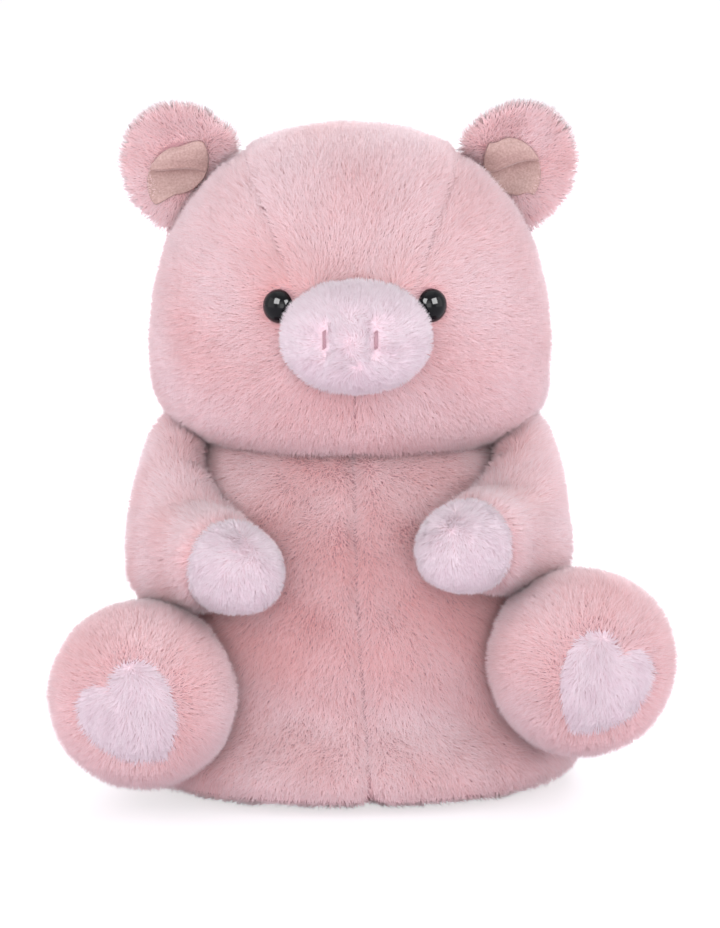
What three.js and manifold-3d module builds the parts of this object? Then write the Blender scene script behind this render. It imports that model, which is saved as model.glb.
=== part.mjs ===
// A seated plush pig, sewn from fur fabric over polyester filling, with a pouch of pellets in its seat.
// Millimetres, +Z up. The pig looks along -Y, and its own left side is +X.
// The origin is the centre of the flat seat that it stands on.
import * as THREE from "three";
import { mergeVertices } from "three/addons/utils/BufferGeometryUtils.js";
import Module from "manifold-3d";

const wasm = await Module();
wasm.setup();

const turn = THREE.MathUtils.degToRad;

// Fabric and sewing
const plushThickness = 5; // backing and pressed pile
const seamGap = 0.3; // between two sewn edges
const fillGap = 0.3; // between a cover and what it holds
const flexGap = 0.4; // kept by a limb from whatever it moves past
const sweepStep = turn(8); // between the places where a swept neighbour is cut away
const overrun = 30; // how far a cutting tool reaches past what it cuts

// Neck seam: a slanting plane between body and head
const neckHeight = 128;
const neckTilt = turn(5); // the seam drops towards the chin

// Body: a pear that spreads into a broad seat
const bodyHalfWidth = 80;
const bellyDepth = 76; // from the seat's centre forwards
const backDepth = 64;
const hipHeight = 46; // where the body is widest
const seatCut = 0.5; // how much of the rounded seat is cut flat
const seatPanelHeight = 12; // of the seam round the seat panel
const shoulderHalfWidth = 66;
const chestDepth = 56;
const shoulderBackDepth = 54;
const shoulderRise = 18; // over the neck seam, to where the shoulders' curve would close
const bodyTop = neckHeight + shoulderRise;
const bodySquareness = 2.3; // exponents: 2 is an ellipse, more is squarer
const seatCurve = 5.5;
const seatFullness = 5;
const shoulderCurve = 3.6;
const shoulderFullness = 2.8;

// Head
const headHalfWidth = 75;
const faceDepth = 62;
const napeDepth = 58;
const cheekHeight = 150; // where the head is widest
const crownHeight = 237;
const cheekDrop = 13; // under the neck seam, to where the cheeks' curve would close
const headUnderside = neckHeight - cheekDrop;
const headSquareness = 2.3;
const cheekCurve = 2;
const cheekFullness = 2.6;
const crownCurve = 2.4;
const crownFullness = 2.3;
const headTurn = turn(25); // each way

// Forehead panel: a gusset that widens from the snout to between the ears
const gussetLowHalfWidth = 19;
const gussetHighHalfWidth = 38;
const gussetLowHeight = 180;
const gussetHighHeight = 226;

// Snout
const snoutHeight = 168;
const snoutHalfWidth = 29.5;
const snoutHalfHeight = 22.5;
const snoutRoot = 42; // where the snout starts, inside the face
const snoutReach = 86; // how far forwards its front is
const snoutRounding = 4.2;
const snoutFullness = 2.6;
const snoutSquareness = 2.1;
const nostrilSpacing = 18;
const nostrilRise = 1.5; // over the snout's centre
const nostrilShift = 2.5; // of the photographed pair, towards the pig's right
const nostrilLength = 6;
const nostrilThickness = 1.8;
const nostrilSink = 1; // of its middle line behind the snout's foremost point

// Safety eyes
const eyeDiameter = 12;
const eyeDome = 5;
const eyeRim = 1;
const eyeSpacing = 55;
const eyeHeight = 178;
const eyeSink = 2.2; // how deep the rim sits in the pile
const eyeYaw = turn(42); // how far each eye looks outwards
const shankDiameter = 4;
const shankLength = 12;
const shankRib = 0.5;
const shankRibs = 2;
const washerDiameter = 14;
const washerThickness = 2.5;
const washerClearance = 0.2;

// Ears
const earHalfWidth = 24;
const earHalfHeight = 26;
const earThickness = 12;
const earCup = 7; // how far the two edges curl forwards
const earLean = turn(45); // from upright, outwards
const earYaw = turn(14); // how far the ear's front turns outwards
const earBaseAcross = 49;
const earBaseBack = 8;
const earBaseHeight = 210;
const earRise = 13; // from the base line to the ear's centre
const liningRise = 9;
const liningHalfWidth = 12.5;
const liningHalfHeight = 15;
const liningDepth = 5;
const liningThickness = 1.4;
const earFoldBack = turn(-12);
const earFoldForward = turn(20);

// Arms
const shoulderRadius = 20;
const shoulderRounding = 18; // length of the arm's rounded root
const wristRadius = 18.5;
const handLength = 29; // of the pale end, from its seam to the tip
const armRounding = 2.5;
const leftArmRaise = turn(5); // the photographed left hand is held higher
const leftArmTurn = turn(3.5); // and further in
const armLift = turn(12);
const cheekSlant = turn(16); // of the flat that an arm has under the cheek, down to its outside
const thighSlant = turn(14); // of its flat over the leg, down to its outside
// The arm's centre line from inside the shoulder to the hand's end, on the pig's right side, as
// shares of the body's half width, the belly's depth and the neck's height
const armPathShares = [
  [-0.64, 0.08, 0.845],
  [-0.73, -0.13, 0.815],
  [-0.765, -0.55, 0.72],
  [-0.645, -0.96, 0.705],
  [-0.395, -1.2, 0.65],
];

// Legs
const hipAcross = 64;
const hipForward = 24;
const legRadius = 28;
const footRadius = 35;
const legReach = 78; // from the hip to the sole
const hipRounding = 20; // length of the leg's rounded root, behind the hip
const soleRounding = 27; // length of the foot's rounded end
const soleCurve = 2.4;
const soleFullness = 2.2;
const rightFootRise = 6; // of each foot's underside over the floor
const leftFootRise = 15.5;
const rightLegYaw = turn(13);
const leftLegYaw = turn(18);
const legSwingIn = turn(8);
const legSwingOut = turn(14);
const padHalfWidth = 16.5;
const padHeight = 34.5;
// The heart's right half from its tip, as shares of half its width and of its height: two bows,
// each with the two handles of a Bezier curve and its end
const heartTipShare = -0.56;
const heartBowShares = [
  [[0.62, -0.46], [1, -0.14], [1, 0.1]],
  [[1, 0.42], [0.24, 0.56], [0, 0.26]],
];
const rightPadTurn = turn(36);
const leftPadTurn = turn(-28);

// Tail
const tailHeight = 46;
const tailRadius = 6;
const tailTipRadius = 4;
const tailCurlRadius = 9;
const tailPitch = 13;
const tailTurns = 1.2;
const tailStem = 12; // how far back the tail reaches before its first turn ends
const tailWag = turn(12);

// Pellet pouch
const pouchHalfWidth = 44;
const pouchHalfDepth = 36;
const pouchHeight = 20;

// Facets
const roundSides = 24;
const limbSides = 16;
const smallSides = 12;
const tailSides = 9;
const ellipse = 2; // the squareness of a plain ellipse

const { Manifold, Mesh } = wasm;

// A closed three.js geometry as a solid.
function solidOf(geometry, matrix = new THREE.Matrix4()) {
  const bare = new THREE.BufferGeometry();
  bare.setAttribute("position", geometry.getAttribute("position").clone());
  if (geometry.index) bare.setIndex(geometry.index.clone());
  bare.applyMatrix4(matrix);
  const merged = mergeVertices(bare, 1e-4);
  return new Manifold(
    new Mesh({
      numProp: 3,
      vertProperties: merged.attributes.position.array,
      triVerts: new Uint32Array(merged.index.array),
    }),
  );
}

// A skin over rings of points, closed by one point at each end.
function loft(rings, start, end) {
  const sides = rings[0].length;
  const points = [start, ...rings.flat(), end];
  const at = (ring, k) => 1 + ring * sides + (k % sides);
  const faces = [];
  for (let k = 0; k < sides; k++) {
    faces.push(0, at(0, k + 1), at(0, k));
    faces.push(points.length - 1, at(rings.length - 1, k), at(rings.length - 1, k + 1));
    for (let r = 0; r + 1 < rings.length; r++) {
      faces.push(at(r, k), at(r, k + 1), at(r + 1, k + 1));
      faces.push(at(r, k), at(r + 1, k + 1), at(r + 1, k));
    }
  }
  const geometry = new THREE.BufferGeometry().setFromPoints(points);
  geometry.setIndex(faces);
  return solidOf(geometry);
}

// One closed ring about a centre: half sizes along u, and along v backwards and forwards.
function ringAbout(centre, u, v, along, before, behind, squareness, sides) {
  const power = 2 / squareness;
  const round = (value) => Math.sign(value) * Math.abs(value) ** power;
  return Array.from({ length: sides }, (_, k) => {
    const angle = (2 * Math.PI * k) / sides;
    const across = round(Math.cos(angle)) * along;
    const up = round(Math.sin(angle));
    return centre
      .clone()
      .addScaledVector(u, across)
      .addScaledVector(v, up * (up < 0 ? before : behind));
  });
}

const axisX = new THREE.Vector3(1, 0, 0);
const axisY = new THREE.Vector3(0, 1, 0);
const axisZ = new THREE.Vector3(0, 0, 1);

// A closing curve: 1 where share is 0, and 0 where it is 1.
const closing = (share, curve, fullness) =>
  Math.max(0, 1 - Math.abs(share) ** curve) ** (1 / fullness);

// Steps from 1 to 0 that crowd towards 1, where a form closes.
const closingSteps = (count) =>
  Array.from({ length: count }, (_, k) => Math.cos(((k + 0.6) * Math.PI) / (2 * count)));

const smooth = (share) => {
  const held = THREE.MathUtils.clamp(share, 0, 1);
  return held * held * (3 - 2 * held);
};

// Solids that shrink by an inset: the outside, the inside of the cover, the filling.
function bodyForm(inset) {
  const drop = hipHeight + seatCut - inset;
  const rise = bodyTop - hipHeight - inset;
  const rings = [];
  const addRing = (height, share, narrowing) => {
    const size = (wide, narrow) => (wide + (narrow - wide) * narrowing - inset) * share;
    rings.push(
      ringAbout(
        axisZ.clone().multiplyScalar(height),
        axisX,
        axisY,
        size(bodyHalfWidth, shoulderHalfWidth),
        size(bellyDepth, chestDepth),
        size(backDepth, shoulderBackDepth),
        bodySquareness,
        roundSides,
      ),
    );
  };
  for (const share of closingSteps(5)) {
    addRing(hipHeight - drop * share, closing(share, seatCurve, seatFullness), 0);
  }
  for (const share of closingSteps(8).reverse()) {
    const size = closing(share, shoulderCurve, shoulderFullness);
    addRing(hipHeight + rise * share, size, smooth(share));
  }
  return loft(
    rings,
    axisZ.clone().multiplyScalar(hipHeight - drop),
    axisZ.clone().multiplyScalar(hipHeight + rise),
  );
}

function headForm(inset) {
  const rings = [];
  const drop = cheekHeight - headUnderside - inset;
  const rise = crownHeight - cheekHeight - inset;
  const addRing = (height, share) =>
    rings.push(
      ringAbout(
        axisZ.clone().multiplyScalar(height),
        axisX,
        axisY,
        (headHalfWidth - inset) * share,
        (faceDepth - inset) * share,
        (napeDepth - inset) * share,
        headSquareness,
        roundSides,
      ),
    );
  for (const share of closingSteps(5)) {
    addRing(cheekHeight - drop * share, closing(share, cheekCurve, cheekFullness));
  }
  for (const share of closingSteps(7).reverse()) {
    addRing(cheekHeight + rise * share, closing(share, crownCurve, crownFullness));
  }
  return loft(
    rings,
    axisZ.clone().multiplyScalar(cheekHeight - drop),
    axisZ.clone().multiplyScalar(cheekHeight + rise),
  );
}

function snoutForm(inset) {
  const reach = snoutReach - snoutRoot - inset;
  const rings = [];
  for (const share of [0, ...closingSteps(5).reverse()]) {
    const size = closing(share, snoutRounding, snoutFullness);
    rings.push(
      ringAbout(
        new THREE.Vector3(0, -snoutRoot - reach * share, snoutHeight),
        axisX,
        axisZ,
        (snoutHalfWidth - inset) * size,
        (snoutHalfHeight - inset) * size,
        (snoutHalfHeight - inset) * size,
        snoutSquareness,
        roundSides,
      ),
    );
  }
  return loft(
    rings,
    new THREE.Vector3(0, -snoutRoot, snoutHeight),
    new THREE.Vector3(0, -snoutRoot - reach, snoutHeight),
  );
}

// side is -1 on the pig's right and 1 on its left.
const shoulder = (side) =>
  new THREE.Vector3(
    -side * armPathShares[0][0] * bodyHalfWidth,
    armPathShares[0][1] * bellyDepth,
    armPathShares[0][2] * neckHeight,
  );

const turnedAbout = (pivot, axis, angle) =>
  new THREE.Matrix4()
    .makeTranslation(pivot)
    .multiply(new THREE.Matrix4().makeRotationAxis(axis, angle))
    .multiply(new THREE.Matrix4().makeTranslation(pivot.clone().negate()));

const liftAxis = axisX.clone().negate();

function armPath(side) {
  const inwards = turnedAbout(shoulder(side), axisZ, side > 0 ? -leftArmTurn : 0);
  const raise = turnedAbout(shoulder(side), liftAxis, side > 0 ? leftArmRaise : 0);
  const pose = inwards.multiply(raise);
  return new THREE.CatmullRomCurve3(
    armPathShares.map(([across, back, up]) =>
      new THREE.Vector3(
        -side * across * bodyHalfWidth,
        back * bellyDepth,
        up * neckHeight,
      ).applyMatrix4(pose),
    ),
  );
}

function armForm(side, inset) {
  const path = armPath(side);
  const length = path.getLength();
  const wrist = length - handLength;
  const stations = closingSteps(3).map((share) => [
    shoulderRounding + (inset - shoulderRounding) * share,
    closing(share, ellipse, ellipse),
  ]);
  const sleeveRings = 4;
  for (let k = 0; k < sleeveRings; k++) {
    stations.push([THREE.MathUtils.lerp(shoulderRounding, wrist, k / sleeveRings), 1]);
  }
  for (const share of [0, ...closingSteps(4).reverse()]) {
    stations.push([wrist + (handLength - inset) * share, closing(share, armRounding, armRounding)]);
  }
  const rings = stations.map(([reach, size]) => {
    const share = reach / length;
    const tangent = path.getTangentAt(share);
    const v = tangent.clone().cross(axisX).normalize();
    const u = v.clone().cross(tangent);
    const half = (THREE.MathUtils.lerp(shoulderRadius, wristRadius, share) - inset) * size;
    return ringAbout(path.getPointAt(share), u, v, half, half, half, ellipse, limbSides);
  });
  return loft(rings, path.getPointAt(inset / length), path.getPointAt(1 - inset / length));
}

// Everything of a leg is laid out along its own axis, which starts at the hip.
const legOf = (side) => {
  const yaw = side < 0 ? rightLegYaw : leftLegYaw;
  const rise = side < 0 ? rightFootRise : leftFootRise;
  const hip = new THREE.Vector3(side * hipAcross, -hipForward, footRadius + rise);
  const forward = new THREE.Vector3(side * Math.sin(yaw), -Math.cos(yaw), 0);
  return { hip, forward, across: forward.clone().cross(axisZ).negate() };
};

function legForm(side, inset) {
  const { hip, forward, across } = legOf(side);
  const along = (reach) => hip.clone().addScaledVector(forward, reach);
  const straight = legReach - soleRounding;
  const stations = closingSteps(3).map((share) => [
    (inset - hipRounding) * share,
    0,
    closing(share, ellipse, ellipse),
  ]);
  for (const share of [0, 0.35, 0.7, 1]) stations.push([straight * share, smooth(share), 1]);
  for (const share of closingSteps(4).reverse()) {
    const size = closing(share, soleCurve, soleFullness);
    stations.push([straight + (soleRounding - inset) * share, 1, size]);
  }
  const rings = stations.map(([reach, swell, size]) => {
    const half = (THREE.MathUtils.lerp(legRadius, footRadius, swell) - inset) * size;
    return ringAbout(along(reach), across, axisZ, half, half, half, ellipse, limbSides);
  });
  return loft(rings, along(inset - hipRounding), along(legReach - inset));
}

// The ear's frame: u along its base, v outwards to its tip, w to its cupped front.
const earOf = (side) => {
  const base = new THREE.Vector3(side * earBaseAcross, earBaseBack, earBaseHeight);
  const v = new THREE.Vector3(side * Math.sin(earLean), 0, Math.cos(earLean));
  const hinge = axisY.clone().cross(v); // a positive turn folds the tip forwards
  const w = axisY.clone().negate().applyAxisAngle(axisZ, side * earYaw);
  w.addScaledVector(v, -w.dot(v)).normalize();
  const u = v.clone().cross(w).normalize();
  return { base, u, v, w, hinge };
};

// An ellipsoid in the ear's frame, with its two edges curled towards the front.
function earBlob(side, rise, forward, half, cup) {
  const { base, u, v, w } = earOf(side);
  const ball = new THREE.SphereGeometry(1, limbSides, limbSides / 2);
  const place = ball.getAttribute("position");
  for (let k = 0; k < place.count; k++) {
    const across = place.getX(k) * half[0];
    place.setXYZ(
      k,
      across,
      place.getY(k) * half[1] + rise,
      place.getZ(k) * half[2] + forward + cup * (across / earHalfWidth) ** 2,
    );
  }
  return solidOf(ball, new THREE.Matrix4().makeBasis(u, v, w).setPosition(base));
}

// A corkscrew about an axis that runs backwards from the body.
function tailForm() {
  const steps = 12;
  const centreAt = (share) => {
    const angle = share * tailTurns * 2 * Math.PI;
    return new THREE.Vector3(
      tailCurlRadius * Math.sin(angle),
      backDepth - plushThickness + (tailStem + tailPitch) * share,
      tailHeight + tailCurlRadius * (1 - Math.cos(angle)),
    );
  };
  const rings = Array.from({ length: steps + 1 }, (_, k) => {
    const share = k / steps;
    const halfStep = 1 / (2 * steps);
    const tangent = centreAt(share + halfStep).sub(centreAt(share - halfStep)).normalize();
    const v = tangent.clone().cross(axisY).normalize();
    const u = v.clone().cross(tangent);
    const half = THREE.MathUtils.lerp(tailRadius, tailTipRadius, share);
    return ringAbout(centreAt(share), u, v, half, half, half, ellipse, tailSides);
  });
  return loft(rings, centreAt(-1 / (2 * steps)), centreAt(1 + 1 / (2 * steps)));
}

// The half space behind a plane, as a large block, moved back from the plane by a gap.
const farSide = crownHeight + overrun;
function behindPlane(point, normal, gap) {
  const block = new THREE.BoxGeometry(2 * farSide, 2 * farSide, farSide);
  const facing = new THREE.Quaternion().setFromUnitVectors(axisZ, normal);
  const centre = point.clone().addScaledVector(normal, -farSide / 2 - gap);
  const ones = new THREE.Vector3(1, 1, 1);
  return solidOf(block, new THREE.Matrix4().compose(centre, facing, ones));
}

const flip = (vector) => vector.clone().negate();
const neckPoint = axisZ.clone().multiplyScalar(neckHeight);
const neckAxis = new THREE.Vector3(0, -Math.sin(neckTilt), Math.cos(neckTilt));
const belowNeck = behindPlane(neckPoint, neckAxis, flexGap / 2);
const aboveNeck = behindPlane(neckPoint, flip(neckAxis), flexGap / 2);
const aboveFloor = behindPlane(new THREE.Vector3(), flip(axisZ), 0);

const torsoSpace = belowNeck.intersect(aboveFloor);
const torso = (inset) => bodyForm(inset).intersect(torsoSpace);
const head = (inset) => headForm(inset).intersect(aboveNeck);

// The room that a solid takes up anywhere in its joint's range.
function sweptRoom(solid, pivot, axis, from, to) {
  const steps = Math.max(1, Math.ceil(Math.abs(to - from) / sweepStep));
  const places = Array.from({ length: steps + 1 }, (_, k) =>
    solid.transform(turnedAbout(pivot, axis, from + ((to - from) * k) / steps).elements),
  );
  return places.reduce((room, place) => room.add(place));
}

// A limb loses what would run into its neighbour anywhere in the joint's range.
const clearOf = (limb, neighbour, pivot, axis, from, to) =>
  limb.subtract(sweptRoom(neighbour, pivot, axis, -to, -from));

// The space past all of a solid along a direction, so that one flat face keeps a limb off it.
function spacePast(solid, direction) {
  const upright = new THREE.Quaternion().setFromUnitVectors(direction, axisZ);
  const turned = solid.transform(new THREE.Matrix4().makeRotationFromQuaternion(upright).elements);
  const [, , reach] = turned.boundingBox().max;
  return behindPlane(direction.clone().multiplyScalar(reach), flip(direction), fillGap);
}

const group = new THREE.Group();
group.name = "plush_pig";

const material = (color, roughness) =>
  new THREE.MeshStandardMaterial({ color, roughness, metalness: 0 });
const rosePlush = material(0xe3b9c0, 0.95);
const palePlush = material(0xe9d6e0, 0.95);
const fibre = material(0xf4f1ee, 1);
const pouchCloth = material(0xe9e4dc, 0.9);
const satin = material(0xd6aaa4, 0.55);
const thread = material(0xb77f8c, 0.8);
const eyePlastic = material(0x101014, 0.12);
const washerPlastic = material(0xe8e8e6, 0.5);

// A body that moves as one: its meshes are placed about its pivot.
function bodyAt(name, pivot, parent = group) {
  const body = new THREE.Group();
  body.name = name;
  body.userData.pivot = pivot;
  body.position.copy(pivot).sub(parent.userData.pivot ?? new THREE.Vector3());
  parent.add(body);
  return body;
}

function addPiece(body, name, solid, look) {
  const made = solid.getMesh();
  const corners = new Float32Array(made.numVert * 3);
  for (let k = 0; k < made.numVert; k++) {
    const start = k * made.numProp;
    corners.set(made.vertProperties.subarray(start, start + 3), k * 3);
  }
  const geometry = new THREE.BufferGeometry();
  geometry.setAttribute("position", new THREE.BufferAttribute(corners, 3));
  geometry.setIndex(new THREE.BufferAttribute(made.triVerts, 1));
  geometry.translate(...flip(body.userData.pivot).toArray());
  geometry.computeVertexNormals();
  const piece = new THREE.Mesh(geometry, look);
  piece.name = name;
  body.add(piece);
}

const sideName = (side) => (side < 0 ? "right" : "left");
const bothSides = [-1, 1];
const halfSeam = seamGap / 2;

// Torso: seat panel, belly and back panels, filling and pellet pouch
const torsoBody = bodyAt("torso", new THREE.Vector3());
const torsoShell = torso(0).subtract(bodyForm(plushThickness));
const seatSeam = axisZ.clone().multiplyScalar(seatPanelHeight);
const seatSide = behindPlane(seatSeam, axisZ, halfSeam);
const wallSide = behindPlane(seatSeam, flip(axisZ), halfSeam);
addPiece(torsoBody, "seat_panel", torsoShell.intersect(seatSide), rosePlush);
for (const side of bothSides) {
  const sideways = axisX.clone().multiplyScalar(-side);
  const half = torsoShell
    .intersect(wallSide)
    .intersect(behindPlane(new THREE.Vector3(), sideways, halfSeam));
  const front = behindPlane(new THREE.Vector3(), axisY, halfSeam);
  const back = behindPlane(new THREE.Vector3(), flip(axisY), halfSeam);
  addPiece(torsoBody, `belly_panel_${sideName(side)}`, half.intersect(front), rosePlush);
  addPiece(torsoBody, `back_panel_${sideName(side)}`, half.intersect(back), rosePlush);
}

// A squat sack on the seat panel, inside the filling's own outline.
function pouchForm(grown) {
  const ball = new THREE.SphereGeometry(1, limbSides, limbSides / 2);
  const size = new THREE.Matrix4().makeScale(
    pouchHalfWidth + grown,
    pouchHalfDepth + grown,
    pouchHeight + grown,
  );
  return solidOf(ball, size.setPosition(0, 0, plushThickness));
}
const torsoCore = torso(plushThickness + fillGap);
addPiece(torsoBody, "pellet_pouch", pouchForm(0).intersect(torsoCore), pouchCloth);
addPiece(torsoBody, "body_filling", torsoCore.subtract(pouchForm(fillGap)), fibre);

// Head
const headBody = bodyAt("head", neckPoint);
const headOutside = head(0);
let headFilling = head(plushThickness + fillGap);

// A turned safety eye: a domed button with a ribbed shank, grown evenly for its hole.
function eyeSolid(place, grown) {
  const half = eyeDiameter / 2 + grown;
  const shank = shankDiameter / 2 + (grown > 0 ? shankRib : 0) + grown;
  const end = -eyeRim - shankLength - grown;
  const profile = [[0, end], [shank, end]];
  for (let k = 0; k < (grown > 0 ? 0 : shankRibs); k++) {
    const foot = -eyeRim - shankLength * (1 - (k + 0.5) / (shankRibs + 1));
    const rib = shankLength / (4 * (shankRibs + 1));
    profile.push([shank, foot - rib], [shank + shankRib, foot], [shank, foot + rib]);
  }
  profile.push([shank, -eyeRim - grown], [half, -eyeRim - grown], [half, 0]);
  const arcSteps = 5;
  for (let k = 1; k <= arcSteps; k++) {
    const angle = (k * Math.PI) / (2 * arcSteps);
    const dome = eyeDome + grown;
    profile.push([k < arcSteps ? half * Math.cos(angle) : 0, dome * Math.sin(angle)]);
  }
  const points = profile.map(([across, along]) => new THREE.Vector2(across, along));
  return solidOf(new THREE.LatheGeometry(points, smallSides), place);
}

function washerSolid(place, grown) {
  const top = -eyeSeatDepth - fillGap + grown;
  const bottom = top - washerThickness - 2 * grown;
  const outer = washerDiameter / 2 + grown;
  const bore = shankDiameter / 2 + shankRib + washerClearance;
  const ring = [[bore, bottom], [outer, bottom], [outer, top], [bore, top], [bore, bottom]];
  const disc = [[0, bottom], [outer, bottom], [outer, top], [0, top]];
  const points = (grown > 0 ? disc : ring).map((corner) => new THREE.Vector2(...corner));
  return solidOf(new THREE.LatheGeometry(points, smallSides), place);
}

// The face's surface point at a place across and up, on the front of the head's form.
function faceAt(across, height) {
  const share = (height - cheekHeight) / (crownHeight - cheekHeight);
  const size = closing(share, crownCurve, crownFullness);
  const spent = (Math.abs(across) / (headHalfWidth * size)) ** headSquareness;
  const depth = faceDepth * size * (1 - spent) ** (1 / headSquareness);
  return new THREE.Vector3(across, -depth, height);
}

const eyeSeatDepth = plushThickness - eyeSink + eyeRim;
const eyePlaces = bothSides.map((side) => {
  const outward = axisY.clone().negate().applyAxisAngle(axisZ, side * eyeYaw);
  const facing = new THREE.Quaternion().setFromUnitVectors(axisY, outward);
  const seat = faceAt((side * eyeSpacing) / 2, eyeHeight);
  seat.addScaledVector(outward, eyeRim - eyeSink);
  return new THREE.Matrix4().compose(seat, facing, new THREE.Vector3(1, 1, 1));
});
let headShell = headOutside.subtract(headForm(plushThickness));
let eyePockets = null;
eyePlaces.forEach((place, k) => {
  const name = sideName(bothSides[k]);
  addPiece(headBody, `eye_${name}`, eyeSolid(place, 0), eyePlastic);
  addPiece(headBody, `eye_washer_${name}`, washerSolid(place, 0), washerPlastic);
  const pocket = eyeSolid(place, fillGap);
  const washerPocket = washerSolid(place, fillGap);
  headShell = headShell.subtract(pocket).subtract(washerPocket);
  headFilling = headFilling.subtract(pocket).subtract(washerPocket);
  eyePockets = eyePockets ? eyePockets.add(pocket) : pocket;
});

// Forehead panel over the crown, cheek panels in front, nape panels behind
function gussetForm(grown) {
  const top = Math.max(gussetHighHeight, crownHeight) + overrun;
  const low = gussetLowHalfWidth + grown;
  const high = gussetHighHalfWidth + grown;
  const outline = new THREE.Shape([
    new THREE.Vector2(-low, gussetLowHeight - grown),
    new THREE.Vector2(low, gussetLowHeight - grown),
    new THREE.Vector2(high, gussetHighHeight),
    new THREE.Vector2(high, top),
    new THREE.Vector2(-high, top),
    new THREE.Vector2(-high, gussetHighHeight),
  ]);
  const length = faceDepth + napeDepth + 2 * overrun;
  const prism = new THREE.ExtrudeGeometry(outline, { depth: length, bevelEnabled: false });
  const upright = new THREE.Matrix4().makeRotationX(Math.PI / 2);
  upright.setPosition(0, length / 2, 0);
  return solidOf(prism, upright);
}
addPiece(headBody, "forehead_panel", headShell.intersect(gussetForm(-halfSeam)), rosePlush);
const lowerHead = headShell.subtract(gussetForm(halfSeam));
for (const side of bothSides) {
  const sideways = axisX.clone().multiplyScalar(-side);
  const half = lowerHead.intersect(behindPlane(new THREE.Vector3(), sideways, halfSeam));
  const front = behindPlane(new THREE.Vector3(), axisY, halfSeam);
  const back = behindPlane(new THREE.Vector3(), flip(axisY), halfSeam);
  addPiece(headBody, `cheek_panel_${sideName(side)}`, half.intersect(front), rosePlush);
  addPiece(headBody, `nape_panel_${sideName(side)}`, half.intersect(back), rosePlush);
}
addPiece(headBody, "head_filling", headFilling, fibre);

// Snout, with a stitched bar for each nostril
const headRoom = headForm(-seamGap);
let snoutCover = snoutForm(0).subtract(snoutForm(plushThickness));
snoutCover = snoutCover.subtract(headRoom).subtract(eyePockets);
for (const side of bothSides) {
  const bar = (grown) =>
    solidOf(
      new THREE.CapsuleGeometry(
        nostrilThickness / 2 + grown,
        nostrilLength - nostrilThickness,
        3,
        smallSides / 2,
      ),
      new THREE.Matrix4()
        .makeRotationX(Math.PI / 2)
        .setPosition(
          (side * nostrilSpacing) / 2 - nostrilShift,
          -snoutReach + nostrilSink,
          snoutHeight + nostrilRise,
        ),
    );
  addPiece(headBody, `nostril_stitch_${sideName(side)}`, bar(0), thread);
  snoutCover = snoutCover.subtract(bar(fillGap));
}
addPiece(headBody, "snout_cover", snoutCover, palePlush);
const snoutCore = snoutForm(plushThickness + fillGap).subtract(headRoom).subtract(eyePockets);
addPiece(headBody, "snout_filling", snoutCore, fibre);

// Ears: a cupped fur leaf with a satin lining sunk in its front
const headMargin = headForm(-flexGap);
for (const side of bothSides) {
  const { base, hinge } = earOf(side);
  const body = bodyAt(`ear_${sideName(side)}`, base, headBody);
  const thick = earThickness / 2;
  const leaf = earBlob(side, earRise, 0, [earHalfWidth, earHalfHeight, thick], earCup);
  const hollow = (shrink, forward) =>
    earBlob(
      side,
      liningRise,
      thick + forward,
      [liningHalfWidth - shrink, liningHalfHeight - shrink, liningDepth - shrink],
      earCup,
    );
  const trimmed = (solid) =>
    clearOf(solid, headMargin, base, hinge, earFoldBack, earFoldForward);
  addPiece(body, `ear_cover_${sideName(side)}`, trimmed(leaf.subtract(hollow(0, 0))), rosePlush);
  const lining = hollow(fillGap, 0).subtract(hollow(fillGap, liningThickness));
  addPiece(body, `ear_lining_${sideName(side)}`, trimmed(lining.intersect(leaf)), satin);
}

// Arms: a fur sleeve, a pale hand and their filling
const torsoMargin = bodyForm(-flexGap).intersect(behindPlane(neckPoint, neckAxis, 0));
const headOverNeck = headMargin.intersect(behindPlane(neckPoint, flip(neckAxis), 0));
const headSweep = sweptRoom(headOverNeck, neckPoint, neckAxis, -headTurn, headTurn);
// A swing about +Z turns the pig's left leg outwards and its right leg inwards.
const legRange = (side) =>
  side < 0 ? [-legSwingOut, legSwingIn] : [-legSwingIn, legSwingOut];
for (const side of bothSides) {
  const pivot = shoulder(side);
  const downwards = new THREE.Vector3(side * Math.sin(cheekSlant), 0, -Math.cos(cheekSlant));
  const upwards = new THREE.Vector3(-side * Math.sin(thighSlant), 0, Math.cos(thighSlant));
  const underHead = spacePast(sweptRoom(headSweep, pivot, liftAxis, -armLift, 0), downwards);
  const legSweep = sweptRoom(legForm(side, -flexGap), legOf(side).hip, axisZ, ...legRange(side));
  const overLeg = spacePast(legSweep, upwards);
  const body = bodyAt(`arm_${sideName(side)}`, pivot);
  const path = armPath(side);
  const seamShare = 1 - handLength / path.getLength();
  const seamPoint = path.getPointAt(seamShare);
  const seamAxis = path.getTangentAt(seamShare);
  const trimmed = (solid) =>
    clearOf(solid, torsoMargin, pivot, liftAxis, 0, armLift)
      .intersect(underHead)
      .intersect(overLeg);
  const shell = trimmed(armForm(side, 0).subtract(armForm(side, plushThickness)));
  const sleeve = shell.intersect(behindPlane(seamPoint, seamAxis, halfSeam));
  const hand = shell.intersect(behindPlane(seamPoint, flip(seamAxis), halfSeam));
  const core = trimmed(armForm(side, plushThickness + fillGap));
  addPiece(body, `arm_sleeve_${sideName(side)}`, sleeve, rosePlush);
  addPiece(body, `hand_${sideName(side)}`, hand, palePlush);
  addPiece(body, `arm_filling_${sideName(side)}`, core, fibre);
}

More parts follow.
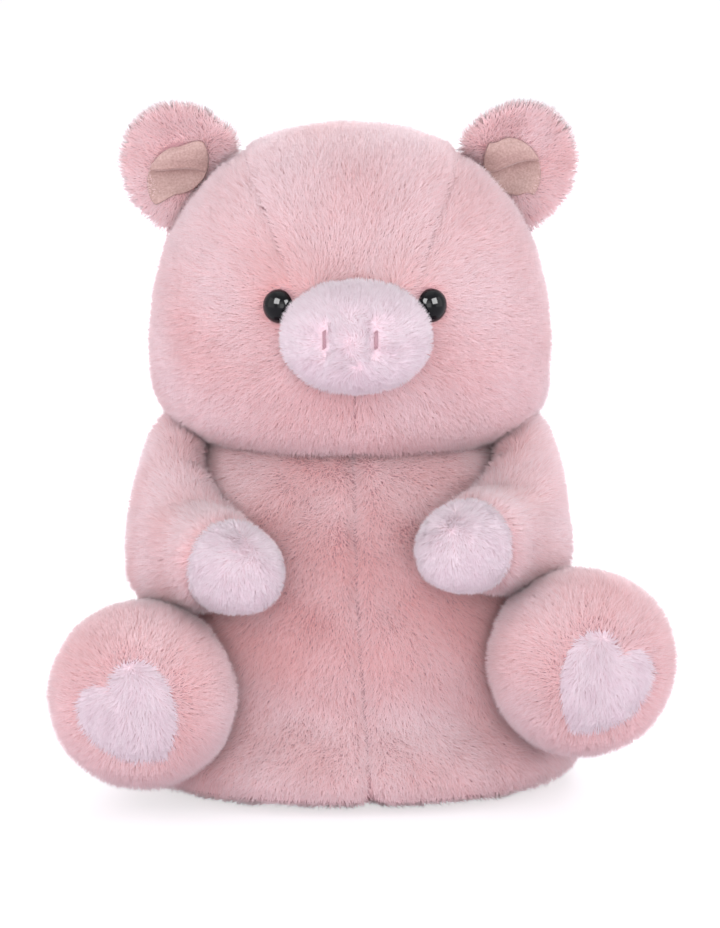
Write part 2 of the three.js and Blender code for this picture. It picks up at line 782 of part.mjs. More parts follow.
// Legs: a fur cover, a heart-shaped pad set into its sole, and the filling
function padForm(side, grown) {
  const half = padHalfWidth + grown;
  const height = padHeight + 2 * grown;
  const heart = new THREE.Shape();
  heart.moveTo(0, heartTipShare * height);
  const bows = heartBowShares.map((bow) => bow.map(([x, y]) => [x * half, y * height]));
  const [lower, upper] = bows;
  heart.bezierCurveTo(...lower.flat());
  heart.bezierCurveTo(...upper.flat());
  const mirrored = ([x, y]) => [-x, y];
  heart.bezierCurveTo(...[upper[1], upper[0], lower[2]].flatMap(mirrored));
  heart.bezierCurveTo(...[lower[1], lower[0], [0, heartTipShare * height]].flatMap(mirrored));
  const prism = new THREE.ExtrudeGeometry(heart, {
    depth: soleRounding + overrun,
    bevelEnabled: false,
    curveSegments: 4,
  });
  const { hip, forward, across } = legOf(side);
  const spin = side < 0 ? rightPadTurn : leftPadTurn;
  const place = hip.clone().addScaledVector(forward, legReach - soleRounding);
  const facing = new THREE.Matrix4()
    .makeBasis(across, axisZ, forward)
    .multiply(new THREE.Matrix4().makeRotationZ(spin));
  return solidOf(prism, facing.setPosition(place));
}
for (const side of bothSides) {
  const { hip } = legOf(side);
  const body = bodyAt(`leg_${sideName(side)}`, hip);
  const [from, to] = legRange(side);
  const trimmed = (solid) => clearOf(solid, torsoMargin, hip, axisZ, from, to);
  const shell = trimmed(legForm(side, 0).subtract(legForm(side, plushThickness)));
  const core = trimmed(legForm(side, plushThickness + fillGap));
  const cover = shell.subtract(padForm(side, halfSeam));
  addPiece(body, `leg_cover_${sideName(side)}`, cover, rosePlush);
  addPiece(body, `foot_pad_${sideName(side)}`, shell.intersect(padForm(side, -halfSeam)), palePlush);
  addPiece(body, `leg_filling_${sideName(side)}`, core, fibre);
}

// Tail: one curl, sewn on at the middle of the back
const tailPivot = new THREE.Vector3(0, backDepth, tailHeight);
const tailBody = bodyAt("tail", tailPivot);
const tailTrimmed = clearOf(tailForm(), torsoMargin, tailPivot, axisZ, -tailWag, tailWag);
addPiece(tailBody, "tail_curl", tailTrimmed, rosePlush);

export default group;
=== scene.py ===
import math

import bmesh
import bpy
import numpy as np
from mathutils import Matrix, Vector
from mathutils.bvhtree import BVHTree


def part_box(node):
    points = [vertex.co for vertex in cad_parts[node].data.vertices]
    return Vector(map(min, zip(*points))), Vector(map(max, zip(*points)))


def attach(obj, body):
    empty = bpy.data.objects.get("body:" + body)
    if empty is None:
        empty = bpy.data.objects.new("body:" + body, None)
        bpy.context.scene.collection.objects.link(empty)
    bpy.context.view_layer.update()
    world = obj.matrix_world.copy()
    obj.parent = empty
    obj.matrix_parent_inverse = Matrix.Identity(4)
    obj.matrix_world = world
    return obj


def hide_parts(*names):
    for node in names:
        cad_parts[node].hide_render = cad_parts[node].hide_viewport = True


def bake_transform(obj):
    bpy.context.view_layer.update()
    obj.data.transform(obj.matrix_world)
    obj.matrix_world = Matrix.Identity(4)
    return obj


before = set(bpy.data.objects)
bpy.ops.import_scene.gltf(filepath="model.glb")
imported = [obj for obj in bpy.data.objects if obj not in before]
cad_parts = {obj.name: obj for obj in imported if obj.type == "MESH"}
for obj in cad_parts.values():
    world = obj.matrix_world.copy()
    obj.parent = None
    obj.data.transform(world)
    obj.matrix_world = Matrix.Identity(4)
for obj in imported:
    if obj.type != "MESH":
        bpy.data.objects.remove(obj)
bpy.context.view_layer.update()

# Camera
# A long lens at the height of the toy's chest, a little from above and a little from the toy's
# right, as a studio shoots a soft toy for a shop.
def placed(name, data):
    """A new object of this data, linked into the scene."""
    made = bpy.data.objects.new(name, data)
    bpy.context.scene.collection.objects.link(made)
    return made


camera_target = Vector((0.0037, 0, 0.1118))
camera_rise = math.radians(10)
camera_side = math.radians(2)
camera_distance = 2.5
picture_height = 0.334
camera_data = bpy.data.cameras.new("studio_camera")
camera_data.sensor_width = 36
camera_data.lens = 36 * camera_distance / picture_height
camera_data.clip_end = 20
camera = placed("studio_camera", camera_data)
camera.rotation_euler = (math.pi / 2 - camera_rise, 0, -camera_side)
camera.location = camera_target + camera.rotation_euler.to_matrix() @ Vector((0, 0, camera_distance))
bpy.context.scene.camera = camera


# Body
# A pear of rose fur fabric, two belly panels and two back panels on an oval seat panel, machine
# sewn inside out, turned and stuffed firmly with polyester fibre. The pile is 5 mm long.
same_place = 1e-6


def joined(nodes):
    """The CAD solids of these nodes, with their loose triangles joined."""
    made = bmesh.new()
    for node in nodes:
        made.from_mesh(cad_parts[node].data)
    bmesh.ops.remove_doubles(made, verts=made.verts, dist=same_place)
    return made


def meshed(name, made):
    """What a bmesh holds, as a mesh of this name."""
    mesh = bpy.data.meshes.new(name)
    made.to_mesh(mesh)
    made.free()
    return mesh


def merged_copy(name, nodes):
    """The CAD solids of these nodes as one new piece."""
    return placed(name, meshed(name, joined(nodes)))


def clad(piece, *looks):
    """Gives a piece these finishes in place of those that it had."""
    piece.data.materials.clear()
    for look in looks:
        piece.data.materials.append(look)


def settle(piece):
    """Takes what the modifiers make of a piece as its own mesh."""
    seen = piece.evaluated_get(bpy.context.evaluated_depsgraph_get())
    mesh = bpy.data.meshes.new_from_object(seen)
    piece.modifiers.clear()
    piece.data = mesh


def shaded_smooth(mesh):
    mesh.polygons.foreach_set("use_smooth", [True] * len(mesh.polygons))


def rounded(piece):
    """Halves a piece's cells and rounds off its facets."""
    rounding = piece.modifiers.new("rounding", "SUBSURF")
    rounding.levels = rounding.render_levels = 1
    settle(piece)
    shaded_smooth(piece.data)


def places(mesh):
    """The mesh's points as rows of numbers."""
    found = np.empty(len(mesh.vertices) * 3)
    mesh.vertices.foreach_get("co", found)
    return found.reshape(-1, 3)


def facings(mesh):
    """The outward directions at the mesh's points."""
    found = np.empty(len(mesh.vertices) * 3, np.float32)
    mesh.vertex_normals.foreach_get("vector", found)
    return found.reshape(-1, 3).astype(float)


def remeshed(piece, cell, rounds):
    """Gives a piece even cells, without inner shells, and smooths out its facets."""
    cells = piece.modifiers.new("cells", "REMESH")
    cells.mode = "VOXEL"
    cells.voxel_size = cell
    settle(piece)
    made = bmesh.new()
    made.from_mesh(piece.data)
    left, shells = set(made.verts), []
    while left:
        shell, edge = set(), [left.pop()]
        while edge:
            point = edge.pop()
            shell.add(point)
            for link in point.link_edges:
                other = link.other_vert(point)
                if other in left:
                    left.remove(other)
                    edge.append(other)
        shells.append(shell)
    outer = max(shells, key=len)
    bmesh.ops.delete(made, geom=[v for v in made.verts if v not in outer], context="VERTS")
    for _ in range(rounds):
        bmesh.ops.smooth_vert(
            made, verts=made.verts, factor=0.5, use_axis_x=True, use_axis_y=True, use_axis_z=True
        )
    bmesh.ops.recalc_face_normals(made, faces=made.faces)
    made.to_mesh(piece.data)
    made.free()


stuffing_steps = 20


def stuffed(piece, held, limit):
    """Blows a cover up like one that is stuffed, while its seams hold it, then halves its cells."""
    before = places(piece.data)
    seams = piece.vertex_groups.new(name="seams")
    seams.add([int(k) for k in np.flatnonzero(held(before))], 1, "REPLACE")
    cloth = piece.modifiers.new("stuffing", "CLOTH")
    cloth.settings.quality = 5
    cloth.settings.mass = 0.2
    cloth.settings.tension_stiffness = 12
    cloth.settings.compression_stiffness = 12
    cloth.settings.bending_stiffness = 0.3
    cloth.settings.use_pressure = True
    cloth.settings.uniform_pressure_force = 4
    cloth.settings.vertex_group_mass = "seams"
    cloth.settings.effector_weights.gravity = 0
    cloth.collision_settings.use_collision = False
    for step in range(1, stuffing_steps + 1):
        bpy.context.scene.frame_set(step)
    settle(piece)
    bpy.context.scene.frame_set(1)
    piece.vertex_groups.clear()
    moved = places(piece.data) - before
    moved *= np.minimum(1, limit / np.maximum(np.linalg.norm(moved, axis=1), 1e-9))[:, None]
    piece.data.vertices.foreach_set("co", (before + moved).ravel())
    rounded(piece)
    piece.data.update()


def ramp(value, start, end):
    """A share that goes from 0 where the value is start to 1 where it is end."""
    return np.clip((value - start) / (end - start), 0, 1)


def bell(distance, width):
    """A share that is 1 at no distance and fades away past the width."""
    return np.exp(-((distance / width) ** 2))


def eased(share):
    """A share from 0 to 1 that starts and ends gently."""
    return share * share * (3 - 2 * share)


def grown(piece, distance):
    """Moves a cover outwards, by one distance or by one for each of its points."""
    at = places(piece.data)
    distance = np.broadcast_to(distance, len(at))[:, None]
    piece.data.vertices.foreach_set("co", (at + facings(piece.data) * distance).ravel())
    piece.data.update()


def drawn_in(piece, distance, depth, width):
    """Pulls a cover in along its seams, as the thread does."""
    grown(piece, -depth * bell(distance(places(piece.data)), width))


def fine_look(name, pattern, scale, colours, finish, relief=None, stops=(0, 1)):
    """A finish whose two colours, and whose relief if it has one, follow a fine pattern."""
    look = bpy.data.materials.new(name)
    look.use_nodes = True
    nodes, links = look.node_tree.nodes, look.node_tree.links
    surface = nodes["Principled BSDF"]
    for socket, value in finish.items():
        surface.inputs[socket].default_value = value
    place = nodes.new("ShaderNodeTexCoord")
    fine = nodes.new(f"ShaderNodeTex{pattern}")
    fine.inputs["Scale"].default_value = scale
    reading = fine.outputs["Distance" if pattern == "Voronoi" else "Fac"]
    tint = nodes.new("ShaderNodeValToRGB")
    for end, colour, stop in zip(tint.color_ramp.elements, colours, stops):
        end.color = (*colour, 1)
        end.position = stop
    links.new(place.outputs["Object"], fine.inputs["Vector"])
    links.new(reading, tint.inputs["Fac"])
    links.new(tint.outputs["Color"], surface.inputs["Base Color"])
    if relief:
        bump = nodes.new("ShaderNodeBump")
        for socket, value in relief.items():
            bump.inputs[socket].default_value = value
        links.new(reading, bump.inputs["Height"])
        links.new(bump.outputs["Normal"], surface.inputs["Normal"])
    return look, fine


def backing_look(name, colour, shade):
    """Knitted backing cloth, which shows only between the roots of the pile."""
    return fine_look(
        name, "Voronoi", 900, (shade, colour), {"Roughness": 0.95, "Specular IOR Level": 0.1},
        {"Distance": 0.0004, "Strength": 0.5}, (0, 0.6),
    )[0]


pile_rows = 16


def pile_look(name, root, middle, tip, deep, pale):
    """Dyed pile: each strand runs from a deep root to a pale tip, and no two rows are quite alike. The
    tone that it reads from each strand is a random dye, and in places painted light and painted shade.
    """
    look = bpy.data.materials.new(name)
    look.use_nodes = True
    nodes, links = look.node_tree.nodes, look.node_tree.links
    strand = nodes["Principled BSDF"]
    strand.inputs["Roughness"].default_value = 0.85
    strand.inputs["Specular IOR Level"].default_value = 0.15
    strand.inputs["Sheen Weight"].default_value = 0.25
    strand.inputs["Sheen Roughness"].default_value = 0.5
    place = nodes.new("ShaderNodeUVMap")
    place.uv_map = "OFBake"
    parts = nodes.new("ShaderNodeSeparateXYZ")
    row = nodes.new("ShaderNodeMath")
    row.operation = "MULTIPLY"
    row.inputs[1].default_value = pile_rows
    along = nodes.new("ShaderNodeMath")
    along.operation = "FRACT"
    number = nodes.new("ShaderNodeMath")
    number.operation = "FLOOR"
    chance = nodes.new("ShaderNodeTexWhiteNoise")
    chance.noise_dimensions = "1D"
    fade = nodes.new("ShaderNodeValToRGB")
    fade.color_ramp.elements[0].color = (*root, 1)
    fade.color_ramp.elements[1].color = (*tip, 1)
    fade.color_ramp.elements.new(0.45).color = (*middle, 1)
    tone = nodes.new("ShaderNodeValToRGB")
    tone.color_ramp.elements[0].color = (*deep, 1)
    tone.color_ramp.elements[1].color = (*pale, 1)
    # The tone multiplies each strand's colour: a random dye, and in places painted light and shade.
    dye_and_painted_light = nodes.new("ShaderNodeMix")
    dye_and_painted_light.data_type = "RGBA"
    dye_and_painted_light.blend_type = "MULTIPLY"
    dye_and_painted_light.inputs["Factor"].default_value = 1
    strength = nodes.new("ShaderNodeMapRange")
    strength.inputs["To Min"].default_value = 0.93
    strength.inputs["To Max"].default_value = 1.05
    shaded = nodes.new("ShaderNodeHueSaturation")
    links.new(place.outputs["UV"], parts.inputs["Vector"])
    links.new(parts.outputs["Y"], row.inputs[0])
    links.new(row.outputs[0], along.inputs[0])
    links.new(row.outputs[0], number.inputs[0])
    links.new(number.outputs[0], chance.inputs["W"])
    links.new(along.outputs[0], fade.inputs["Fac"])
    links.new(parts.outputs["X"], tone.inputs["Fac"])
    links.new(fade.outputs["Color"], dye_and_painted_light.inputs[6])
    links.new(tone.outputs["Color"], dye_and_painted_light.inputs[7])
    links.new(chance.outputs["Value"], strength.inputs["Value"])
    links.new(strength.outputs["Result"], shaded.inputs["Value"])
    links.new(dye_and_painted_light.outputs[2], shaded.inputs["Color"])
    links.new(shaded.outputs["Color"], strand.inputs["Base Color"])
    return look


def scattered(piece, spacing, seed):
    """Even but unordered places on a cover, with the direction that it faces at each."""
    chance = np.random.default_rng(seed)
    mesh = piece.data
    mesh.calc_loop_triangles()
    corners = np.empty(len(mesh.loop_triangles) * 3, np.int32)
    mesh.loop_triangles.foreach_get("vertices", corners)
    corners = corners.reshape(-1, 3)
    at, out = places(mesh)[corners], facings(mesh)[corners]
    areas = np.linalg.norm(np.cross(at[:, 1] - at[:, 0], at[:, 2] - at[:, 0]), axis=1) / 2
    reach = np.cumsum(areas)
    picked = np.searchsorted(reach, chance.random(int(reach[-1] / spacing**2 * 3)) * reach[-1])
    picked = np.minimum(picked, len(areas) - 1)
    a, b = chance.random((2, len(picked)))
    a, b = np.where(a + b > 1, 1 - a, a), np.where(a + b > 1, 1 - b, b)
    share = np.stack([1 - a - b, a, b], 1)[:, :, None]
    p, n = (at[picked] * share).sum(1), (out[picked] * share).sum(1)
    cells = np.floor(p / spacing + 1e4).astype(np.int64)
    first = np.unique(cells @ np.array([1, 1 << 20, 1 << 40]), return_index=True)[1]
    first = chance.permutation(first)
    return p[first], n[first] / np.linalg.norm(n[first], axis=1)[:, None]


def drift(p, size, seed):
    """A slow wander between about -1 and 1 from place to place, the same in every run."""
    chance = np.random.default_rng(seed)
    total = np.zeros(len(p))
    for _ in range(5):
        wave = chance.normal(size=3)
        wave *= 2 * math.pi / (size * np.linalg.norm(wave)) * chance.uniform(0.7, 1.4)
        total += np.sin(p @ wave + chance.uniform(0, 2 * math.pi))
    return total / 2.5


def within(p, reach, nodes):
    """Which places lie inside the CAD solids of these nodes, or less than reach outside them."""
    found = np.zeros(len(p), bool)
    for node in nodes:
        low, high = (np.array(corner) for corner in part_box(node))
        near = ((p > low - reach) & (p < high + reach)).all(1)
        made = joined([node])
        tree = BVHTree.FromBMesh(made)
        made.free()
        for k in np.flatnonzero(near):
            point = Vector(p[k])
            spot, facing, _, _ = tree.find_nearest(point)
            found[k] |= (point - spot).dot(facing) < 0 or (point - spot).length < reach
    return found


def patchy(p, middle, sway, size, seed, speckle=0.12):
    """The pile's tone, which sways from place to place and differs a little from strand to strand."""
    strands = np.random.default_rng(seed + 1).normal(0, speckle, len(p))
    return middle + sway * drift(p, size, seed) + strands


def unit(v):
    return v / np.maximum(np.linalg.norm(v, axis=1), 1e-9)[:, None]


root_depth = 0.0004
lowest_root = 0.0001
lowest_tip = 0.0003
lean_spread = 0.17
swing_spread = 0.5
shortest_share, longest_share = 0.88, 1.08


def pile(name, seen, p, n, flow, lean, length, tone, yarn, seed, neighbours=()):
    """Strands on a cover at those places p that are seen, combed along flow and leaning by lean."""
    girth, look, tuft, pull = yarn
    flow = np.broadcast_to(flow, p.shape)[seen]
    lean, length = np.broadcast_to(lean, len(p))[seen], np.broadcast_to(length, len(p))[seen]
    p, n, tone = p[seen], n[seen], tone[seen]
    chance = np.random.default_rng(seed)
    count = len(p)
    lean = lean + chance.normal(0, lean_spread, count)
    length = length * chance.uniform(shortest_share, longest_share, count)
    over = unit(flow - (flow * n).sum(1)[:, None] * n)
    sideways = np.cross(n, over)
    swing = 0.3 * drift(p, 0.016, seed + 1) + chance.normal(0, swing_spread, count)
    over = over * np.cos(swing)[:, None] + sideways * np.sin(swing)[:, None]
    way = unit(n * np.cos(lean)[:, None] + over * np.sin(lean)[:, None])
    tip = p + way * length[:, None]
    for size, share in ((tuft, pull), (tuft * 2.7, pull * 0.3)):
        wander = np.stack([drift(p, 0.006, seed + k) for k in (2, 3, 4)], 1) * size * 0.6
        cells = np.floor((p + wander) / size + 1e4).astype(np.int64) @ np.array([1, 1 << 20, 1 << 40])
        _, group, size_of = np.unique(cells, return_inverse=True, return_counts=True)
        middle = np.stack([np.bincount(group, tip[:, k]) for k in range(3)], 1) / size_of[:, None]
        tip += (middle[group] - tip) * share
    tip[:, 2] = np.maximum(tip[:, 2], lowest_tip)
    if neighbours:
        clear = ~within(tip, 0.0002, neighbours)
        p, n, tip, tone = p[clear], n[clear], tip[clear], tone[clear]
        count = len(p)
    way = unit(tip - p)
    across = unit(np.cross(way, np.roll(way, 1, axis=1) + 0.01))
    turn = chance.uniform(0, 2 * math.pi, count)
    beside = np.cross(way, across)
    points, outward = [], []
    for k in range(3):
        angle = turn + 2 * math.pi * k / 3
        ray = across * np.cos(angle)[:, None] + beside * np.sin(angle)[:, None]
        foot = p - way * root_depth + ray * girth / 2
        foot[:, 2] = np.maximum(foot[:, 2], lowest_root)
        points.append(foot)
        outward.append(unit(ray * 0.3 + n))
    points.append(tip)
    outward.append(unit(n + way * 0.3))
    points = np.stack(points, 1).reshape(-1, 3)
    outward = np.stack(outward, 1).reshape(-1, 3)
    sides = np.array([[0, 1, 3], [1, 2, 3], [2, 0, 3]])
    faces = (4 * np.arange(count)[:, None, None] + sides).reshape(-1, 3)
    u = np.clip(tone, 0, 1) * 0.96 + 0.02
    v = (chance.integers(0, pile_rows, count) + 0.04) / pile_rows
    high = 0.92 / pile_rows
    u, v = u[:, None] + np.array([-0.004, 0.004, 0, 0]), v[:, None] + np.array([0, 0, 0.06, 1]) * high
    uv = np.stack([u, v], 2).reshape(-1, 2)
    mesh = bpy.data.meshes.new(name)
    mesh.vertices.add(len(points))
    mesh.vertices.foreach_set("co", points.astype(np.float32).ravel())
    mesh.loops.add(faces.size)
    mesh.loops.foreach_set("vertex_index", faces.astype(np.int32).ravel())
    mesh.polygons.add(len(faces))
    mesh.polygons.foreach_set("loop_start", np.arange(0, faces.size, 3, dtype=np.int32))
    mesh.polygons.foreach_set("use_smooth", np.ones(len(faces), bool))
    mesh.update(calc_edges=True)
    uv = uv[faces.ravel()].astype(np.float32)
    mesh.uv_layers.new(name="OFBake").data.foreach_set("uv", uv.ravel())
    mesh.normals_split_custom_set_from_vertices(outward.astype(np.float32))
    mesh.materials.append(look)
    return placed(name, mesh)


rose_backing = backing_look("rose_backing", (0.64, 0.35, 0.38), (0.52, 0.26, 0.29))
rose_pile = pile_look(
    "rose_pile", (0.84, 0.51, 0.53), (0.92, 0.63, 0.66), (0.97, 0.79, 0.84),
    (0.92, 0.68, 0.66), (1.0, 1.0, 1.0),
)
strand_length = 0.0052
strand_spacing = 0.00052
# A yarn is the girth of its strands, their dye, the size of the tufts that they draw together in,
# and how strongly.
rose_yarn = (0.00042, rose_pile, 0.0016, 0.12)
neck = np.array([0, 0, 0.128])
neck_slant = math.radians(5)
neck_facing = np.array([0, -math.sin(neck_slant), math.cos(neck_slant)])
seat_seam_height = 0.004
belly_seam_shift = 0.004
side_seam_from = 0.02
seat_sag = 0.0058
seat_clearance = 0.0008
seat_strand_length = 0.005
seat_strand_share = 0.35
body_seam_half = 0.0008
far = 1.0


def belly_seam(p):
    """How far to the side of the belly's seam, which wanders to the toy's left near the seat."""
    low = ramp(p[:, 2], 0.095, 0.005)
    return p[:, 0] - np.where(p[:, 1] < 0, belly_seam_shift * eased(low), 0)


def body_seams(p):
    """How far a place is from the nearest seam of the body's cover."""
    seat = np.abs(p[:, 2] - seat_seam_height)
    side_seam = np.where(np.abs(p[:, 0]) > side_seam_from, np.abs(p[:, 1]), far)
    sides = np.minimum(np.abs(belly_seam(p)), side_seam)
    return np.where(p[:, 2] > seat_seam_height, np.minimum(seat, sides), seat)


def over_neck(p):
    """How far a place is above the neck seam."""
    return (p - neck) @ neck_facing


def body_held(p):
    """Where the body's cover can't swell: at its seams, on the floor and in the neck."""
    return (body_seams(p) < 0.0025) | (p[:, 2] < 0.0065) | (over_neck(p) > -0.006)


body_cover = merged_copy("body_cover", ["body_filling", "pellet_pouch"])
remeshed(body_cover, cell=0.0045, rounds=6)
grown(body_cover, 0.0005)
stuffed(body_cover, body_held, limit=0.003)
drawn_in(body_cover, body_seams, depth=0.0019, width=0.0026)
# The seat spreads and sags under the toy's weight, most in front.
at = places(body_cover.data)
low = ramp(at[:, 2], 0.036, 0.006)
in_front = ramp(at[:, 1], 0.03, -0.03)
wider = np.stack(
    [(0.12 + 0.09 * in_front) * at[:, 0], (0.08 + 0.20 * in_front) * at[:, 1], 0 * low - seat_sag], 1
)
at += eased(low)[:, None] * wider
at[:, 2] = np.maximum(at[:, 2], seat_clearance)
body_cover.data.vertices.foreach_set("co", at.ravel())
body_cover.data.update()
clad(body_cover, rose_backing)
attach(body_cover, "torso")
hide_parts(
    "seat_panel", "belly_panel_right", "belly_panel_left", "back_panel_right",
    "back_panel_left", "body_filling",
)

p, n = scattered(body_cover, strand_spacing, 11)
x, y, z = p.T
seam_side = np.tanh(belly_seam(p) / 0.006)
low_belly = ramp(z, 0.06, 0.03)
front = y < 0
seat = (z < 0.012) & (n[:, 2] < -0.6)
flow = np.stack(
    [
        np.where(seat, x / 0.05, np.where(front, 0.22 * seam_side, 0.3 * np.tanh(x / 0.02))),
        np.where(seat, y / 0.05, 0.05),
        np.where(seat, 0, -1.0),
    ],
    1,
)
lean = np.where(front, np.radians(44 + 4 * low_belly), np.radians(48))
lean = np.where(seat, np.radians(76), lean) + 0.16 * drift(p, 0.02, 12)
seams = body_seams(p)
lean += np.radians(3) * bell(seams, 0.003)
high_chest = ramp(z, 0.088, 0.108)
shade_by_limbs = ramp(np.abs(x), 0.03, 0.05) * np.where(front, 1 - high_chest, 0)
# The tone is paler on the low belly, which faces up into the light, as painted light. It is deeper beside
# the arms and legs, as painted shade where they shade the belly. It is also deeper over the middle of the
# belly and paler towards the upper chest.
tone = patchy(p, 0.2, 0.16, 0.03, 13) + 0.6 * low_belly + 0.35 * high_chest - 0.25 * shade_by_limbs
length = np.where(seat, seat_strand_length, strand_length)
limbs = [
    "arm_filling_right", "arm_filling_left", "leg_filling_right", "leg_filling_left", "head_filling",
]
seen = (seams > body_seam_half) & (over_neck(p) < -body_seam_half)
seen &= ~within(p + n * 0.004, 0, limbs)
seen &= ~seat | (np.random.default_rng(15).random(len(p)) < seat_strand_share)
for name, here in {
    "belly_pile_right": front & (x < 0) & ~seat,
    "belly_pile_left": front & (x >= 0) & ~seat,
    "back_pile_right": ~front & (x < 0) & ~seat,
    "back_pile_left": ~front & (x >= 0) & ~seat,
    "seat_pile": seat,
}.items():
    made = pile(name, here & seen, p, n, flow, lean, length, tone, rose_yarn, 20 + len(name), limbs)
    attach(made, "torso")


# Pellet pouch
# A squat bag of undyed cotton filled with plastic pellets, sewn shut and dropped into the seat, so
# that the toy sits upright. It is inside the stuffed body.
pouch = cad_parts["pellet_pouch"]
cotton, weave = fine_look(
    "pouch_cotton", "Wave", 400, ((0.66, 0.60, 0.51), (0.83, 0.78, 0.69)), {"Roughness": 0.9},
    {"Distance": 0.0002},
)
weave.inputs["Distortion"].default_value = 0.6
clad(pouch, cotton)


# Head
# A broad round head: a forehead panel that widens from the snout to between the ears, two cheek
# panels that meet under the chin and two nape panels, stuffed and sewn down on the neck.
gusset_low_half = 0.019
gusset_high_half = 0.038
gusset_low_height = 0.180
gusset_high_height = 0.226
snout_middle = np.array([0, -0.09, 0.168])
snout_half_width = 0.0295
snout_half_height = 0.0225
snout_mean_half = 0.026
head_seam_half = 0.0007
jowl_sag = 0.002
eye_turn = math.radians(42)
eye_bed = 0.005
# A flat plug fills the hole that the filling has behind each eye, before the cover goes over it.
eye_plug_half = 0.0145
eye_plug_depth = 0.0088
eye_plug_sunk = 0.0092
# How far along its strand a point is, and how far from the eye's middle it then stays.
eye_clearings = ((0.0005, 0.0068), (0.004, 0.0058), (0.0078, 0.0056))


def gusset_edge(p):
    """How far outside the forehead panel's edge a place is, below zero inside it."""
    up = ramp(p[:, 2], gusset_low_height, gusset_high_height)
    return np.abs(p[:, 0]) - gusset_low_half - (gusset_high_half - gusset_low_half) * up


def head_seams(p):
    """How far a place is from the nearest seam of the head's cover."""
    upper = np.abs(gusset_edge(p))
    upper = np.where(gusset_edge(p) > 0, np.minimum(upper, np.abs(p[:, 1])), upper)
    side_seam = np.where(np.abs(p[:, 0]) > side_seam_from, np.abs(p[:, 1]), far)
    lower = np.minimum(np.abs(p[:, 0]), side_seam)
    return np.where(p[:, 2] > gusset_low_height, upper, lower)


def snout_ring(p):
    """How far a place is outside the snout's root as seen from the front, in metres."""
    across, up = p[:, 0] / snout_half_width, (p[:, 2] - snout_middle[2]) / snout_half_height
    return (np.hypot(across, up) - 1) * snout_mean_half


def head_held(p):
    """Where the head's cover can't swell: at its seams and on the neck."""
    return (head_seams(p) < 0.0022) | (over_neck(p) < 0.006)


def head_creases(p):
    """The distance from the head's seams, and more below the cheeks, where they show less."""
    return head_seams(p) + np.clip(0.15 - p[:, 2], 0, 1) * 0.3


head_cover = merged_copy("head_cover", ["head_filling"])
eye_seats, eye_ways = [], []
plugged = bmesh.new()
plugged.from_mesh(head_cover.data)
for side in (-1, 1):
    way = Vector((side * math.sin(eye_turn), -math.cos(eye_turn), 0))
    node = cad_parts["eye_right" if side < 0 else "eye_left"]
    seat = max((v.co for v in node.data.vertices), key=lambda spot: spot.dot(way)) - way * eye_bed
    eye_seats.append(seat)
    eye_ways.append(way)
    flat = Matrix.Diagonal((eye_plug_half, eye_plug_half, eye_plug_depth, 1))
    turned = way.to_track_quat("Z", "Y").to_matrix().to_4x4()
    stand = Matrix.Translation(seat - way * eye_plug_sunk) @ turned
    bmesh.ops.create_icosphere(plugged, subdivisions=3, radius=1, matrix=stand @ flat)
plugged.to_mesh(head_cover.data)
plugged.free()
remeshed(head_cover, cell=0.0042, rounds=6)
grown(head_cover, 0.0004 + 0.0012 * np.clip(facings(head_cover.data)[:, 2], 0, 1))
stuffed(head_cover, head_held, limit=0.003)
drawn_in(head_cover, head_creases, depth=0.0015, width=0.003)
# The jowls hang out over the neck seam, the left one a little more.
at = places(head_cover.data)
low = ramp(over_neck(at), 0.022, 0)
sideways = np.where(at[:, 0] < 0, 0.05, 0.09) * at[:, 0]
forwards = np.where(at[:, 1] < 0, 0.12, 0.04) * at[:, 1]
at += eased(low)[:, None] * np.stack([sideways, forwards, 0 * low - jowl_sag], 1)
head_cover.data.vertices.foreach_set("co", at.ravel())
head_cover.data.update()
clad(head_cover, rose_backing)
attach(head_cover, "head")
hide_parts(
    "forehead_panel", "cheek_panel_right", "cheek_panel_left", "nape_panel_right",
    "nape_panel_left", "head_filling",
)

p, n = scattered(head_cover, strand_spacing, 31)
x, y, z = p.T
front = y < 0
ring = snout_ring(p)
by_snout = np.where(front, bell(np.maximum(ring, 0), 0.007), 0)
falling = 0.25 + 0.9 * ramp(y, 0, 0.03)
flow = unit(p - snout_middle) - np.stack([0 * x, 0 * x, falling], 1)
upwards = np.clip(n[:, 2], 0, 1)
lean = np.radians(44 + 12 * upwards + 4 * by_snout) + 0.12 * drift(p, 0.02, 32)
seams = head_seams(p)
lean += np.radians(4) * bell(seams, 0.003)
# The tone is paler on the top of the head, as painted light from above. It is deeper round the snout's
# root, as painted shade where the snout meets the face.
tone = patchy(p, 0.65, 0.18, 0.03, 33) + 0.2 * ramp(z, 0.19, 0.22) - 0.2 * by_snout
seen = ((seams > head_seam_half) | (z < 0.136)) & ~(front & (ring < -0.0045))
seen &= over_neck(p) > -0.001
for seat, way in zip(eye_seats, eye_ways):
    for reach, close in eye_clearings:
        spot = p + unit(n * 0.7 + unit(flow) * 0.7) * reach - np.array(seat)
        depth = spot @ np.array(way)
        seen &= (np.linalg.norm(spot - depth[:, None] * np.array(way), axis=1) > close) | (depth < -0.006)
near_head = ["body_filling", "snout_filling", "arm_filling_right", "arm_filling_left"]
seen &= ~within(p + n * 0.003, 0, near_head)
in_gusset = (gusset_edge(p) < 0) & (z > gusset_low_height)
for name, here in {
    "forehead_pile": in_gusset,
    "cheek_pile_right": ~in_gusset & front & (x < 0),
    "cheek_pile_left": ~in_gusset & front & (x >= 0),
    "nape_pile_right": ~in_gusset & ~front & (x < 0),
    "nape_pile_left": ~in_gusset & ~front & (x >= 0),
}.items():
    made = pile(
        name, here & seen, p, n, flow, lean, strand_length, tone, rose_yarn, 40 + len(name), near_head
    )
    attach(made, "head")


